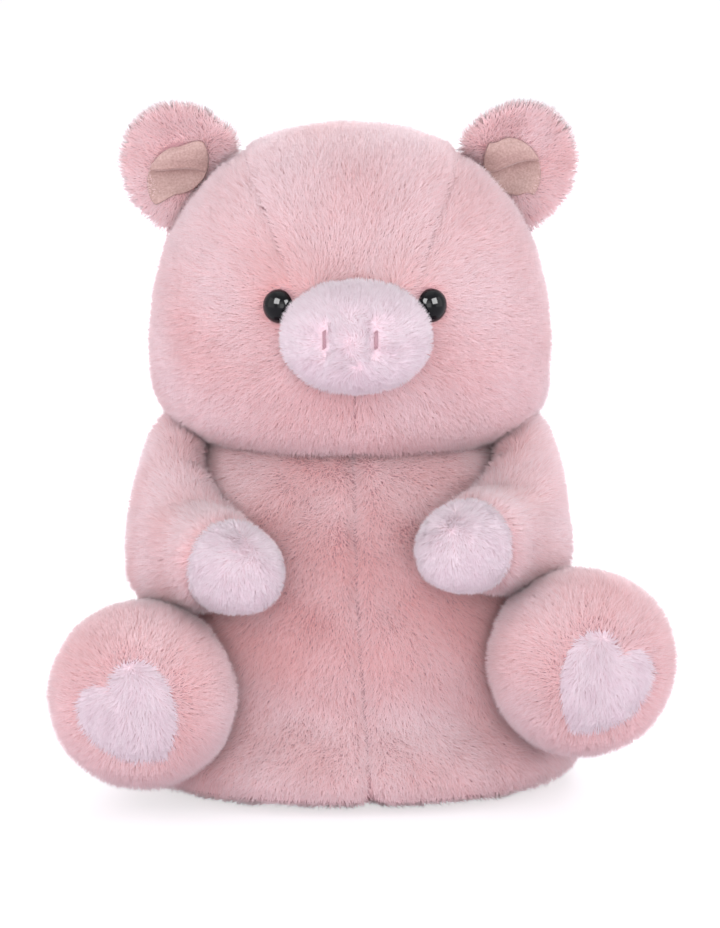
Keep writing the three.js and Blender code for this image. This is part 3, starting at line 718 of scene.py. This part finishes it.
# Eyes
# Black safety eyes: a glossy moulded dome with a thin rim and a ribbed shank, pushed through the
# cheek panel and locked behind it by a pressed-on washer.
eye_half = 0.006
eye_dome = 0.005
eye_rim = 0.001
shank_half = 0.002
shank_end = -0.013
eye_look, cloud = fine_look(
    "eye_plastic", "Noise", 240, ((0.001, 0.001, 0.002), (0.003, 0.003, 0.005)),
    {"Specular IOR Level": 0.18},
)
nodes, links = eye_look.node_tree.nodes, eye_look.node_tree.links
wear = nodes.new("ShaderNodeMapRange")
wear.inputs["To Min"].default_value = 0.06
wear.inputs["To Max"].default_value = 0.12
links.new(cloud.outputs["Fac"], wear.inputs["Value"])
links.new(wear.outputs["Result"], nodes["Principled BSDF"].inputs["Roughness"])
washer_look, _ = fine_look(
    "washer_plastic", "Noise", 500, ((0.70, 0.70, 0.68), (0.82, 0.82, 0.80)), {}
)
for name, seat, way in zip(("right", "left"), eye_seats, eye_ways):
    profile = [(0, shank_end), (shank_half * 0.8, shank_end), (shank_half, shank_end + 0.0008)]
    for rib in (-0.009, -0.005):
        profile += [(shank_half, rib - 0.001), (shank_half + 0.0005, rib), (shank_half, rib + 0.001)]
    profile += [(shank_half, -eye_rim), (eye_half - 0.0003, -eye_rim), (eye_half, -0.0007), (eye_half, 0)]
    for k in range(1, 13):
        turn = k * math.pi / 24
        profile.append((eye_half * math.cos(turn) if k < 12 else 0, eye_dome * math.sin(turn)))
    made = bmesh.new()
    points = [made.verts.new((across, 0, up)) for across, up in profile]
    edges = [made.edges.new(pair) for pair in zip(points, points[1:])]
    bmesh.ops.spin(
        made, geom=points + edges, cent=(0, 0, 0), axis=(0, 0, 1), dvec=(0, 0, 0),
        angle=2 * math.pi, steps=48, use_merge=True, use_duplicate=False,
    )
    bmesh.ops.remove_doubles(made, verts=made.verts, dist=same_place)
    bmesh.ops.recalc_face_normals(made, faces=made.faces)
    stand = way.to_track_quat("Z", "Y").to_matrix().to_4x4()
    bmesh.ops.transform(made, matrix=Matrix.Translation(seat) @ stand, verts=made.verts)
    eye = placed(f"eye_button_{name}", meshed(f"eye_button_{name}", made))
    shaded_smooth(eye.data)
    clad(eye, eye_look)
    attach(eye, "head")
    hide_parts(f"eye_{name}")
    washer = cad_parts[f"eye_washer_{name}"]
    clad(washer, washer_look)


# Snout
# An oval cup of pale, short and dense velour, stuffed and sewn on in the middle of the face. Two
# short bars of mauve thread are pulled tight through it for the nostrils.
nostril_shift = 0.0025
nostril_apart = 0.009
nostril_height = 0.1695
nostril_spots = [
    np.array([side * nostril_apart - nostril_shift, 0, nostril_height]) for side in (-1, 1)
]
pale_backing = backing_look("pale_backing", (0.80, 0.60, 0.66), (0.66, 0.46, 0.52))
pale_pile = pile_look(
    "pale_pile", (0.86, 0.68, 0.74), (0.89, 0.73, 0.80), (0.93, 0.82, 0.88),
    (0.93, 0.88, 0.90), (1.0, 1.0, 1.0),
)
velour_length = 0.0040
velour_spacing = 0.00052
velour_speckle = 0.14
pale_yarn = (0.0005, pale_pile, 0.0019, 0.35)
snout_front = -0.06


def nostril_distance(p):
    """How far a place is from the nearer nostril's stitch, as seen from the front."""
    found = np.full(len(p), far)
    for spot in nostril_spots:
        up = np.maximum(np.abs(p[:, 2] - spot[2]) - 0.0028, 0)
        found = np.minimum(found, np.hypot(p[:, 0] - spot[0], up))
    return np.where(p[:, 1] < snout_front, found, far)


snout_cover = merged_copy("snout_velour_cover", ["snout_filling"])
remeshed(snout_cover, cell=0.0022, rounds=4)
grown(snout_cover, 0.002)
stuffed(snout_cover, lambda p: p[:, 1] > -0.056, limit=0.0015)
drawn_in(snout_cover, nostril_distance, depth=0.0022, width=0.0032)
clad(snout_cover, pale_backing)
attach(snout_cover, "head")
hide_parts("snout_cover", "snout_filling")
p, n = scattered(snout_cover, velour_spacing, 51)
round_side = ramp(p[:, 1], -0.079, -0.067)
stitch = nostril_distance(p)
way_round = np.stack([p[:, 0] / 0.03, 0 * stitch, (p[:, 2] - 0.166) / 0.024], 1)
wander = np.stack([drift(p, 0.012, 56), 0 * stitch, drift(p, 0.012, 57)], 1)
flow = way_round + 0.3 * wander + np.stack([0 * stitch, 0.9 * round_side, 0 * stitch], 1)
from_middle = p[:, 0] + nostril_shift
to_stitch = np.abs(from_middle) - nostril_apart
beside = np.stack([np.sign(from_middle) * np.sign(to_stitch), 0 * stitch, 0 * stitch], 1)
by_stitch = bell(stitch, 0.003)
flow = flow + 2.5 * by_stitch[:, None] * beside
lean = np.radians(44 + 14 * by_stitch) + 0.12 * drift(p, 0.008, 52)
length = velour_length * np.clip(0.45 + stitch / 0.006, 0.45, 1)
# The tone is deeper towards the snout's lower edge, as painted shade where the velour turns down away
# from the light.
tone = patchy(p, 0.6, 0.28, 0.009, 53, velour_speckle) - 0.4 * ramp(p[:, 2], 0.163, 0.151)
# Beside the nostril stitches the tone is deeper still, as painted shade in their grooves.
tone -= 0.5 * bell(stitch, 0.0022)
seen = (stitch > 0.0008) & ~within(p + n * 0.002, 0.0005, ["head_filling"])
snout_pile = pile("snout_pile", seen, p, n, flow, lean, length, tone, pale_yarn, 55, ["head_filling"])
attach(snout_pile, "head")

thread_look, twist = fine_look(
    "mauve_thread", "Wave", 700, ((0.34, 0.16, 0.20), (0.56, 0.32, 0.38)),
    {"Roughness": 0.7, "Sheen Weight": 0.3}, {"Distance": 0.0002},
)
twist.bands_direction = "DIAGONAL"
thread_half = 0.00026
thread_apart = 0.0004
stitch_height = 0.0062
stitch_steps = 8
snout_tree = BVHTree.FromObject(snout_cover, bpy.context.evaluated_depsgraph_get())
for name, spot in zip(("right", "left"), nostril_spots):
    made = bmesh.new()
    for k in range(3):
        across = spot[0] + (k - 1) * thread_apart
        before = None
        for step in range(stitch_steps + 1):
            share = step / stitch_steps
            up = spot[2] + (share - 0.5) * stitch_height + (k - 1) * 0.0003
            seat = snout_tree.ray_cast(Vector((across, -0.12, up)), Vector((0, 1, 0)))[0]
            rise = 0.0007 * math.sin(math.pi * share) + 0.0001
            turned = Matrix.Translation((across, seat.y - rise, up))
            circle = bmesh.ops.create_circle(made, segments=8, radius=thread_half, matrix=turned)
            circle = circle["verts"]
            edges = list({edge for v in circle for edge in v.link_edges})
            if before:
                bmesh.ops.bridge_loops(made, edges=before + edges)
            else:
                bmesh.ops.contextual_create(made, geom=circle)
            before = edges
        bmesh.ops.contextual_create(made, geom=circle)
    bmesh.ops.recalc_face_normals(made, faces=made.faces)
    threads = placed(f"nostril_threads_{name}", meshed(f"nostril_threads_{name}", made))
    shaded_smooth(threads.data)
    clad(threads, thread_look)
    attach(threads, "head")
    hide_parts(f"nostril_stitch_{name}")


# Ears
# Each ear is a round fur leaf, turned and left flat, folded once at its base and sewn to the head,
# with a small folded piece of dusty satin sewn into its front.
satin_look, weft = fine_look(
    "ear_satin", "Noise", 1400, ((0.35, 0.21, 0.195), (0.48, 0.32, 0.29)),
    {"Roughness": 0.6, "Sheen Weight": 0.3, "Specular IOR Level": 0.12},
    {"Distance": 0.00008}, (0.3, 0.7),
)
weft.inputs["Detail"].default_value = 3
ear_rise = 0.013
ear_turn = math.radians(45)
ear_facing = math.radians(14)
ear_leaf_half = 0.024
ear_cup = 0.007
satin_half_width = 0.0086
satin_half_height = 0.0096
satin_thickness = 0.0006
# The satin's own profile from its lower edge up and over its fold, as distance up and forwards.
satin_profile = np.array([
    [-0.0105, 0.0012], [-0.0070, -0.0006], [-0.0030, -0.0016], [0.0002, -0.0017], [0.0016, -0.0008],
    [0.0010, 0.0007], [-0.0004, 0.0016], [0.0006, 0.0029], [0.0040, 0.0036], [0.0074, 0.0028],
    [0.0098, 0.0006],
])
for side, name, satin_inwards, satin_out in ((-1, "right", 0.0015, 0.0146), (1, "left", 0.0013, 0.0132)):
    base = np.array([side * 0.049, 0.008, 0.210])
    v_axis = np.array([side * math.sin(ear_turn), 0, math.cos(ear_turn)])
    w_axis = np.array([side * math.sin(ear_facing), -math.cos(ear_facing), 0])
    w_axis -= (w_axis @ v_axis) * v_axis
    w_axis /= np.linalg.norm(w_axis)
    u_axis = np.cross(v_axis, w_axis)
    ear_axes = np.stack([u_axis, v_axis, w_axis])
    satin_up = -side * 0.91 * u_axis + 0.41 * v_axis
    satin_up /= np.linalg.norm(satin_up)
    satin_across = np.cross(satin_up, w_axis)
    satin_middle = base - satin_inwards * u_axis + satin_out * v_axis

    ear = merged_copy(f"ear_leaf_{name}", [f"ear_cover_{name}", f"ear_lining_{name}"])
    remeshed(ear, cell=0.002, rounds=3)
    local = (places(ear.data) - base) @ ear_axes.T
    cup = ear_cup * (local[:, 0] / ear_leaf_half) ** 2
    local[:, 2] = (local[:, 2] - cup) * 0.5 + cup * 0.8
    local[:, 0] *= 0.87
    up = local[:, 1] - ear_rise
    local[:, 1] = ear_rise + np.where(up > 0, up * 0.86, up * 1.75)
    ear.data.vertices.foreach_set("co", (local @ ear_axes + base).ravel())
    grown(ear, 0.0006)
    rounded(ear)
    clad(ear, rose_backing)
    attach(ear, f"ear_{name}")
    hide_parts(f"ear_cover_{name}")

    p, n = scattered(ear, strand_spacing, 61)
    local = (p - base) @ ear_axes.T
    from_middle = local * np.array([1, 1, 0]) - np.array([0, ear_rise - 0.004, 0])
    facing_front = n @ w_axis > 0.1
    flow = unit(from_middle) @ ear_axes
    flow = np.where(facing_front[:, None], flow, flow * 0.5 + v_axis)
    satin_place = np.stack([(p - satin_middle) @ satin_across, (p - satin_middle) @ satin_up], 1)
    in_satin = np.hypot(satin_place[:, 0] / satin_half_width, satin_place[:, 1] / satin_half_height)
    lean = np.radians(46) + 0.16 * drift(p, 0.012, 62)
    length = strand_length * np.where(facing_front, np.clip(0.5 + (in_satin - 1) * 1.1, 0.5, 1), 1)
    tone = patchy(p, 0.75, 0.18, 0.02, 63)
    seen = ~(facing_front & (in_satin < 1)) & ~within(p, 0.001, ["head_filling"])
    ear_pile = pile(
        f"ear_pile_{name}", seen, p, n, flow, lean, length, tone, rose_yarn, 65, ["head_filling"]
    )
    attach(ear_pile, f"ear_{name}")

    made = bmesh.new()
    bmesh.ops.create_grid(made, x_segments=20, y_segments=40, size=1)
    ear_tree = BVHTree.FromObject(ear, bpy.context.evaluated_depsgraph_get())
    centre_seat = ear_tree.find_nearest(Vector(satin_middle))[0]
    middle_depth = (np.array(centre_seat) - satin_middle) @ w_axis
    for point in made.verts:
        across, along = point.co.x, (point.co.y + 1) / 2
        reach = along * (len(satin_profile) - 1)
        k = min(int(reach), len(satin_profile) - 2)
        rest = reach - k
        up, forward = satin_profile[k] * (1 - rest) + satin_profile[k + 1] * rest
        narrow = math.sqrt(max(0.05, 1 - (up / 0.0112) ** 2))
        spread = 0.0098 * narrow * across
        up *= 1.08
        forward *= 1 - 0.55 * across * across
        up += 0.0012 * math.sin(across * 2.2 + 0.4) - 0.0022 * side * across
        place = satin_middle + satin_across * spread + satin_up * up
        seat = ear_tree.ray_cast(Vector(place + w_axis * 0.03), Vector(-w_axis))[0]
        depth = (np.array(seat) - place) @ w_axis if seat else middle_depth
        point.co = Vector(place + w_axis * (forward + max(depth, middle_depth) + 0.0022))
    bmesh.ops.recalc_face_normals(made, faces=made.faces)
    lining = placed(f"ear_satin_{name}", meshed(f"ear_satin_{name}", made))
    wall = lining.modifiers.new("cloth", "SOLIDIFY")
    wall.thickness = satin_thickness
    wall.offset = -1
    rounded(lining)
    clad(lining, satin_look)
    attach(lining, f"ear_{name}")
    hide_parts(f"ear_lining_{name}")


# Arms
# Two stuffed tubes of the rose fur, sewn into the side seams at the shoulders and bent forwards,
# each ending in a rounded hand of the pale velour.
arm_line = np.array([
    [-0.0512, 0.0061, 0.1082], [-0.0584, -0.0099, 0.1043], [-0.0612, -0.0418, 0.0922],
    [-0.0516, -0.0730, 0.0902], [-0.0316, -0.0912, 0.0832],
])
hand_inwards = 0.005
left_arm_turn = math.radians(-3.5)
left_arm_lift = math.radians(-5)
curve_steps = 12
wrist_groove = 0.0015


def inwards(p, side):
    """Arm places with the hand brought further in over the belly."""
    share = ramp(p[:, 1], -0.03, -0.075)
    return p - np.stack([side * hand_inwards * eased(share), 0 * share, 0 * share], 1)


def smooth_curve(points):
    """Places along a smooth line through these points, without the first and the last of them."""
    t = np.linspace(0, 1, curve_steps, endpoint=False)[:, None]
    return 0.5 * np.concatenate([
        2 * b + (c - a) * t + (2 * a - 5 * b + 4 * c - d) * t**2 + (3 * b - a - 3 * c + d) * t**3
        for a, b, c, d in zip(points, points[1:], points[2:], points[3:])
    ])


for side, name in ((-1, "right"), (1, "left")):
    line = arm_line * np.array([-side, 1, 1])
    if side > 0:
        turned = Matrix.Rotation(left_arm_turn, 3, "Z")
        raised = np.array(turned @ Matrix.Rotation(left_arm_lift, 3, "X"))
        line = (line - line[0]) @ raised.T + line[0]
    line = inwards(line, side)
    curve = smooth_curve([line[0] * 2 - line[1], *line, line[-1] * 2 - line[-2]])
    along = unit(np.gradient(curve, axis=0))
    sleeve_points, hand_points = (
        places(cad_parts[f"{part}_{name}"].data) for part in ("arm_sleeve", "hand")
    )
    apart = np.linalg.norm(hand_points[:, None] - sleeve_points[None], axis=2).min(1)
    rim = inwards(hand_points[apart < 0.0005], side)
    wrist = (rim.min(0) + rim.max(0)) / 2
    wrist_way = along[np.linalg.norm(curve - wrist, axis=1).argmin()]

    arm = merged_copy(f"arm_stuffed_{name}", [f"arm_filling_{name}"])
    remeshed(arm, cell=0.003, rounds=4)
    at = inwards(places(arm.data), side)
    nearest = np.linalg.norm(at[:, None] - curve[None, ::3], axis=2).argmin(1) * 3
    by_shoulder = ramp(np.linalg.norm(at - line[0], axis=1), 0.0585, 0.0135)
    by_elbow = bell(np.linalg.norm(at - line[2], axis=1), 0.026)
    inner = ramp(side * (curve[nearest, 0] - at[:, 0]), 0, 0.015)
    inner *= ramp((at - wrist) @ wrist_way, 0, -0.02)
    on_top = np.clip(facings(arm.data)[:, 2], 0, 1) * by_shoulder
    under = np.clip(-facings(arm.data)[:, 2], 0, 1) * by_elbow
    rise = 0.006 * by_shoulder + 0.011 * on_top - 0.008 * under
    out = 0.010 * under - 0.006 * inner - 0.004 * by_shoulder
    at += np.stack([side * out, 0 * inner, rise], 1)
    arm.data.vertices.foreach_set("co", at.ravel())
    grown(arm, 0.0016 + 0.0028 * by_shoulder)
    stuffed(
        arm,
        lambda p: (np.abs((p - wrist) @ wrist_way) < wrist_groove) | within(p, 0.008, ["body_filling"]),
        limit=0.002,
    )
    drawn_in(arm, lambda p: (p - wrist) @ wrist_way, depth=0.0016, width=0.003)
    clad(arm, rose_backing, pale_backing)
    for face in arm.data.polygons:
        face.material_index = int((np.array(face.center) - wrist) @ wrist_way > 0)
    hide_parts(f"arm_sleeve_{name}", f"hand_{name}", f"arm_filling_{name}")

    p, n = scattered(arm, strand_spacing, 71)
    beyond = (p - wrist) @ wrist_way
    nearest = np.linalg.norm(p[:, None] - curve[None, ::3], axis=2).argmin(1) * 3
    upwards = np.clip(n[:, 2], 0, 1)
    flow = -0.7 * along[nearest] - np.array([0, 0, 0.5])
    lean = np.radians(44 + 10 * upwards) + 0.1 * drift(p, 0.018, 72)
    tone = patchy(p, 0.72, 0.18, 0.03, 73)
    beside_arm = ["body_filling", "head_filling", f"leg_filling_{name}"]
    seen = (beyond < -0.0005) & ~within(p + n * 0.001, 0, beside_arm)
    sleeve_pile = pile(
        f"sleeve_pile_{name}", seen, p, n, flow, lean, strand_length, tone, rose_yarn, 75, beside_arm
    )
    p, n = scattered(arm, velour_spacing, 76)
    beyond = (p - wrist) @ wrist_way
    flow = -0.35 * wrist_way - np.array([0, 0, 0.9])
    lean = np.radians(46) + 0.08 * drift(p, 0.008, 77)
    tone = patchy(p, 0.62, 0.26, 0.01, 78, velour_speckle)
    seen = (beyond > 0.0006) & ~within(p + n * 0.002, 0.0005, beside_arm)
    hand_pile = pile(
        f"hand_pile_{name}", seen, p, n, flow, lean, velour_length, tone, pale_yarn, 80, beside_arm
    )
    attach(hand_pile, f"arm_{name}")
    for made in (arm, sleeve_pile):
        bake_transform(made)


# Legs
# Two stuffed legs of the rose fur that stick out forwards from the hips. Each sole is one round
# piece with a heart of the pale velour let into it.
def bow(a, b, c, d, count=14):
    """Points along a smooth bow with two handles."""
    t = np.linspace(0, 1, count, endpoint=False)[:, None]
    return a * (1 - t) ** 3 + 3 * b * t * (1 - t) ** 2 + 3 * c * t * t * (1 - t) + d * t**3


heart_half, heart_height = 0.0165, 0.0345
heart_tip = np.array([0, -0.56])
right_bows = [
    bow(heart_tip, np.array([0.62, -0.46]), np.array([1, -0.14]), np.array([1, 0.1])),
    bow(np.array([1, 0.1]), np.array([1, 0.42]), np.array([0.24, 0.56]), np.array([0, 0.26])),
]
right_bow = np.concatenate([*right_bows, [[0, 0.26]]])
heart = np.concatenate([right_bow, right_bow[-2:0:-1] * np.array([-1, 1])])
heart = heart * np.array([heart_half, heart_height])


def heart_distance(spots):
    """How far flat places are outside the heart's edge, below zero inside it."""
    closest, crossings = np.full(len(spots), far), np.zeros(len(spots), int)
    for a, b in zip(heart, np.roll(heart, -1, axis=0)):
        along = np.clip(((spots - a) @ (b - a)) / ((b - a) @ (b - a)), 0, 1)
        closest = np.minimum(closest, np.linalg.norm(spots - a - along[:, None] * (b - a), axis=1))
        passes = (a[1] > spots[:, 1]) != (b[1] > spots[:, 1])
        rise = b[1] - a[1] if b[1] != a[1] else 1
        crossings += passes & (spots[:, 0] < a[0] + (spots[:, 1] - a[1]) * (b[0] - a[0]) / rise)
    return np.where(crossings % 2 == 1, -closest, closest)


leg_reach = 0.078
sole_depth = 0.02
pad_strand_length = velour_length * 1.15
pad_groove = 0.0018
for side, name, yaw, rise, pad_turn, lifted in (
    (-1, "right", 13, 0.006, 36, 0.002), (1, "left", 18, 0.0155, -28, 0.003),
):
    hip = np.array([side * 0.064, -0.024, 0.035 + rise])
    yaw, pad_turn = math.radians(yaw), math.radians(pad_turn)
    forward = np.array([side * math.sin(yaw), -math.cos(yaw), 0])
    across = np.array([math.cos(yaw), side * math.sin(yaw), 0])
    spin = np.array([[math.cos(pad_turn), math.sin(pad_turn)], [-math.sin(pad_turn), math.cos(pad_turn)]])

    def sole_places(p):
        return np.stack([(p - hip) @ across, (p - hip)[:, 2]], 1) @ spin.T

    def pad_edge(p):
        on_sole = (p - hip) @ forward > leg_reach - sole_depth
        return np.where(on_sole, heart_distance(sole_places(p)), far)

    leg = merged_copy(f"leg_stuffed_{name}", [f"leg_filling_{name}"])
    remeshed(leg, cell=0.0036, rounds=5)
    at = places(leg.data)
    at[:, 2] += lifted * ramp((at - hip) @ forward, 0, 0.05)
    leg.data.vertices.foreach_set("co", at.ravel())
    grown(leg, 0.0016)
    stuffed(
        leg,
        lambda p: (np.abs(pad_edge(p)) < pad_groove) | within(p, 0.008, ["body_filling"]),
        limit=0.0025,
    )
    drawn_in(leg, pad_edge, depth=0.0014, width=0.0028)
    clad(leg, rose_backing, pale_backing)
    centres = np.array([face.center for face in leg.data.polygons])
    leg.data.polygons.foreach_set("material_index", (pad_edge(centres) < 0).astype(np.int32))
    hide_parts(f"leg_cover_{name}", f"foot_pad_{name}", f"leg_filling_{name}")

    p, n = scattered(leg, strand_spacing, 81)
    reach = (p - hip) @ forward
    on_sole = ramp(reach, leg_reach - 0.022, leg_reach - 0.010)
    from_axis = unit(p - hip - reach[:, None] * forward)
    upwards = np.clip(n[:, 2], 0, 1)
    falling = -0.8 * forward - np.array([0, 0, 0.35])
    flow = falling * (1 - on_sole)[:, None] + from_axis * (1.1 * on_sole)[:, None]
    edge = pad_edge(p)
    lean = np.radians(44 + 10 * upwards * (1 - on_sole)) + 0.1 * drift(p, 0.018, 82)
    tone = patchy(p, 0.65, 0.18, 0.03, 83) - 0.1 * on_sole
    beside_leg = ["body_filling", f"arm_filling_{name}"]
    seen = (edge > 0.0001) & ~within(p + n * 0.002, 0, beside_leg)
    leg_pile = pile(
        f"leg_pile_{name}", seen, p, n, flow, lean, strand_length, tone, rose_yarn, 85, beside_leg
    )
    p, n = scattered(leg, velour_spacing, 86)
    edge = pad_edge(p)
    here = edge < -0.0001
    p, n, edge = p[here], n[here], edge[here]
    outward = unit(p - hip - ((p - hip) @ forward)[:, None] * forward)
    flow = (0.3 + 1.2 * np.exp(edge / 0.002))[:, None] * outward + np.array([0, 0, -0.9])
    lean = np.radians(50) + 0.12 * drift(p, 0.008, 87)
    tone = patchy(p, 0.62, 0.26, 0.01, 88, velour_speckle)
    pad_pile = pile(
        f"pad_pile_{name}", edge < 0, p, n, flow, lean, pad_strand_length, tone, pale_yarn, 90
    )
    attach(pad_pile, f"leg_{name}")
    for made in (leg, leg_pile):
        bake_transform(made)


# Tail
# A thin tube of the fur, gathered on its thread so that it curls once, and sewn on at the middle of
# the back.
tail_sunk = 0.006
tail = merged_copy("tail_stuffed", ["tail_curl"])
remeshed(tail, cell=0.0016, rounds=2)
grown(tail, -0.0012)
at = places(tail.data)
root = at[:, 1].min()
at[:, 1] -= tail_sunk * ramp(at[:, 1], root + 0.008, root)
tail.data.vertices.foreach_set("co", at.ravel())
rounded(tail)
clad(tail, rose_backing)
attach(tail, "tail")
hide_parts("tail_curl")
tail_turns = 1.2
tail_radius = 0.009
tail_length = 0.025
tail_root = np.array([0, 0.059, 0.046])
tail_yarn = (0.0005, rose_pile, 0.0018, 0.12)
tail_strand_length = 0.0036
tail_share = np.linspace(0, 1, 60)
tail_angle = tail_share * tail_turns * 2 * math.pi
tail_line = tail_root + np.stack(
    [tail_radius * np.sin(tail_angle), tail_length * tail_share, tail_radius * (1 - np.cos(tail_angle))],
    1,
)
tail_along = unit(np.gradient(tail_line, axis=0))
p, n = scattered(tail, strand_spacing, 91)
flow = tail_along[np.linalg.norm(p[:, None] - tail_line[None], axis=2).argmin(1)]
tone = patchy(p, 0.55, 0.2, 0.02, 92)
seen = ~within(p, 0.002, ["body_filling"])
lean = np.radians(58)
tail_pile = pile(
    "tail_pile", seen, p, n, flow, lean, tail_strand_length, tone, tail_yarn, 94, ["body_filling"]
)
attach(tail_pile, "tail")


# Studio
# A pale floor without an edge, large soft lamps all round, two windows that only gloss mirrors and a
# pale surround. The floor and the surround are bright only to the camera and to gloss.
def seen_or_mirrored(nodes, links):
    """1 for what the camera sees straight, in a mirror or through glass."""
    ray = nodes.new("ShaderNodeLightPath")
    either = nodes.new("ShaderNodeMath")
    either.operation = "MAXIMUM"
    any_of = nodes.new("ShaderNodeMath")
    any_of.operation = "MAXIMUM"
    links.new(ray.outputs["Is Camera Ray"], either.inputs[0])
    links.new(ray.outputs["Is Glossy Ray"], either.inputs[1])
    links.new(either.outputs[0], any_of.inputs[0])
    links.new(ray.outputs["Is Transmission Ray"], any_of.inputs[1])
    return any_of.outputs[0]


made = bmesh.new()
bmesh.ops.create_grid(made, x_segments=1, y_segments=1, size=6)
floor = placed("floor", meshed("floor", made))
floor_look = bpy.data.materials.new("studio_floor")
floor_look.use_nodes = True
nodes, links = floor_look.node_tree.nodes, floor_look.node_tree.links
paper = nodes["Principled BSDF"]
paper.inputs["Base Color"].default_value = (0.90, 0.84, 0.90, 1)
paper.inputs["Roughness"].default_value = 0.9
paper.inputs["Specular IOR Level"].default_value = 0
bright = nodes.new("ShaderNodeEmission")
bright.inputs["Color"].default_value = (1, 1, 1, 1)
bright.inputs["Strength"].default_value = 1.4
share = nodes.new("ShaderNodeMath")
share.operation = "MULTIPLY"
share.inputs[1].default_value = 0.45
mixed = nodes.new("ShaderNodeMixShader")
links.new(seen_or_mirrored(nodes, links), share.inputs[0])
links.new(share.outputs[0], mixed.inputs[0])
links.new(paper.outputs[0], mixed.inputs[1])
links.new(bright.outputs[0], mixed.inputs[2])
links.new(mixed.outputs[0], nodes["Material Output"].inputs["Surface"])
clad(floor, floor_look)

world = bpy.data.worlds.new("studio")
bpy.context.scene.world = world
world.use_nodes = True
nodes, links = world.node_tree.nodes, world.node_tree.links
surround = nodes["Background"]
surround.inputs["Color"].default_value = (0.96, 0.97, 1.0, 1)
surround.inputs["Strength"].default_value = 0.8
backdrop = nodes.new("ShaderNodeBackground")
backdrop.inputs["Color"].default_value = (1, 1, 1, 1)
backdrop.inputs["Strength"].default_value = 1
mixed = nodes.new("ShaderNodeMixShader")
links.new(seen_or_mirrored(nodes, links), mixed.inputs[0])
links.new(surround.outputs[0], mixed.inputs[1])
links.new(backdrop.outputs[0], mixed.inputs[2])
links.new(mixed.outputs[0], nodes["World Output"].inputs["Surface"])

lit_middle = Vector((0, 0, 0.12))
for name, place, size, power in (
    ("key_lamp", (-0.3, -2.0, 0.65), 1.6, 15),
    ("low_lamp", (0.1, -1.7, 0.25), 1.0, 8.5),
    ("right_lamp", (-1.5, -0.5, 0.6), 1.4, 8),
    ("left_lamp", (1.5, -0.5, 0.6), 1.4, 9),
    ("top_lamp", (0, 0.2, 1.7), 1.3, 3),
    ("back_lamp", (0.2, 1.5, 1.0), 1.0, 18),
    ("right_window", (-0.8, -1.03, 1.03), 0.9, 80),
    ("left_window", (0.98, -1.0, 0.9), 0.9, 80),
):
    lamp_data = bpy.data.lights.new(name, "AREA")
    lamp_data.shape = "SQUARE"
    lamp_data.size = size
    lamp_data.energy = power
    lamp = placed(name, lamp_data)
    lamp.visible_diffuse = "window" not in name
    lamp.location = place
    lamp.rotation_euler = (lit_middle - Vector(place)).to_track_quat("-Z", "Y").to_euler()

bpy.context.scene.view_settings.view_transform = "Standard"
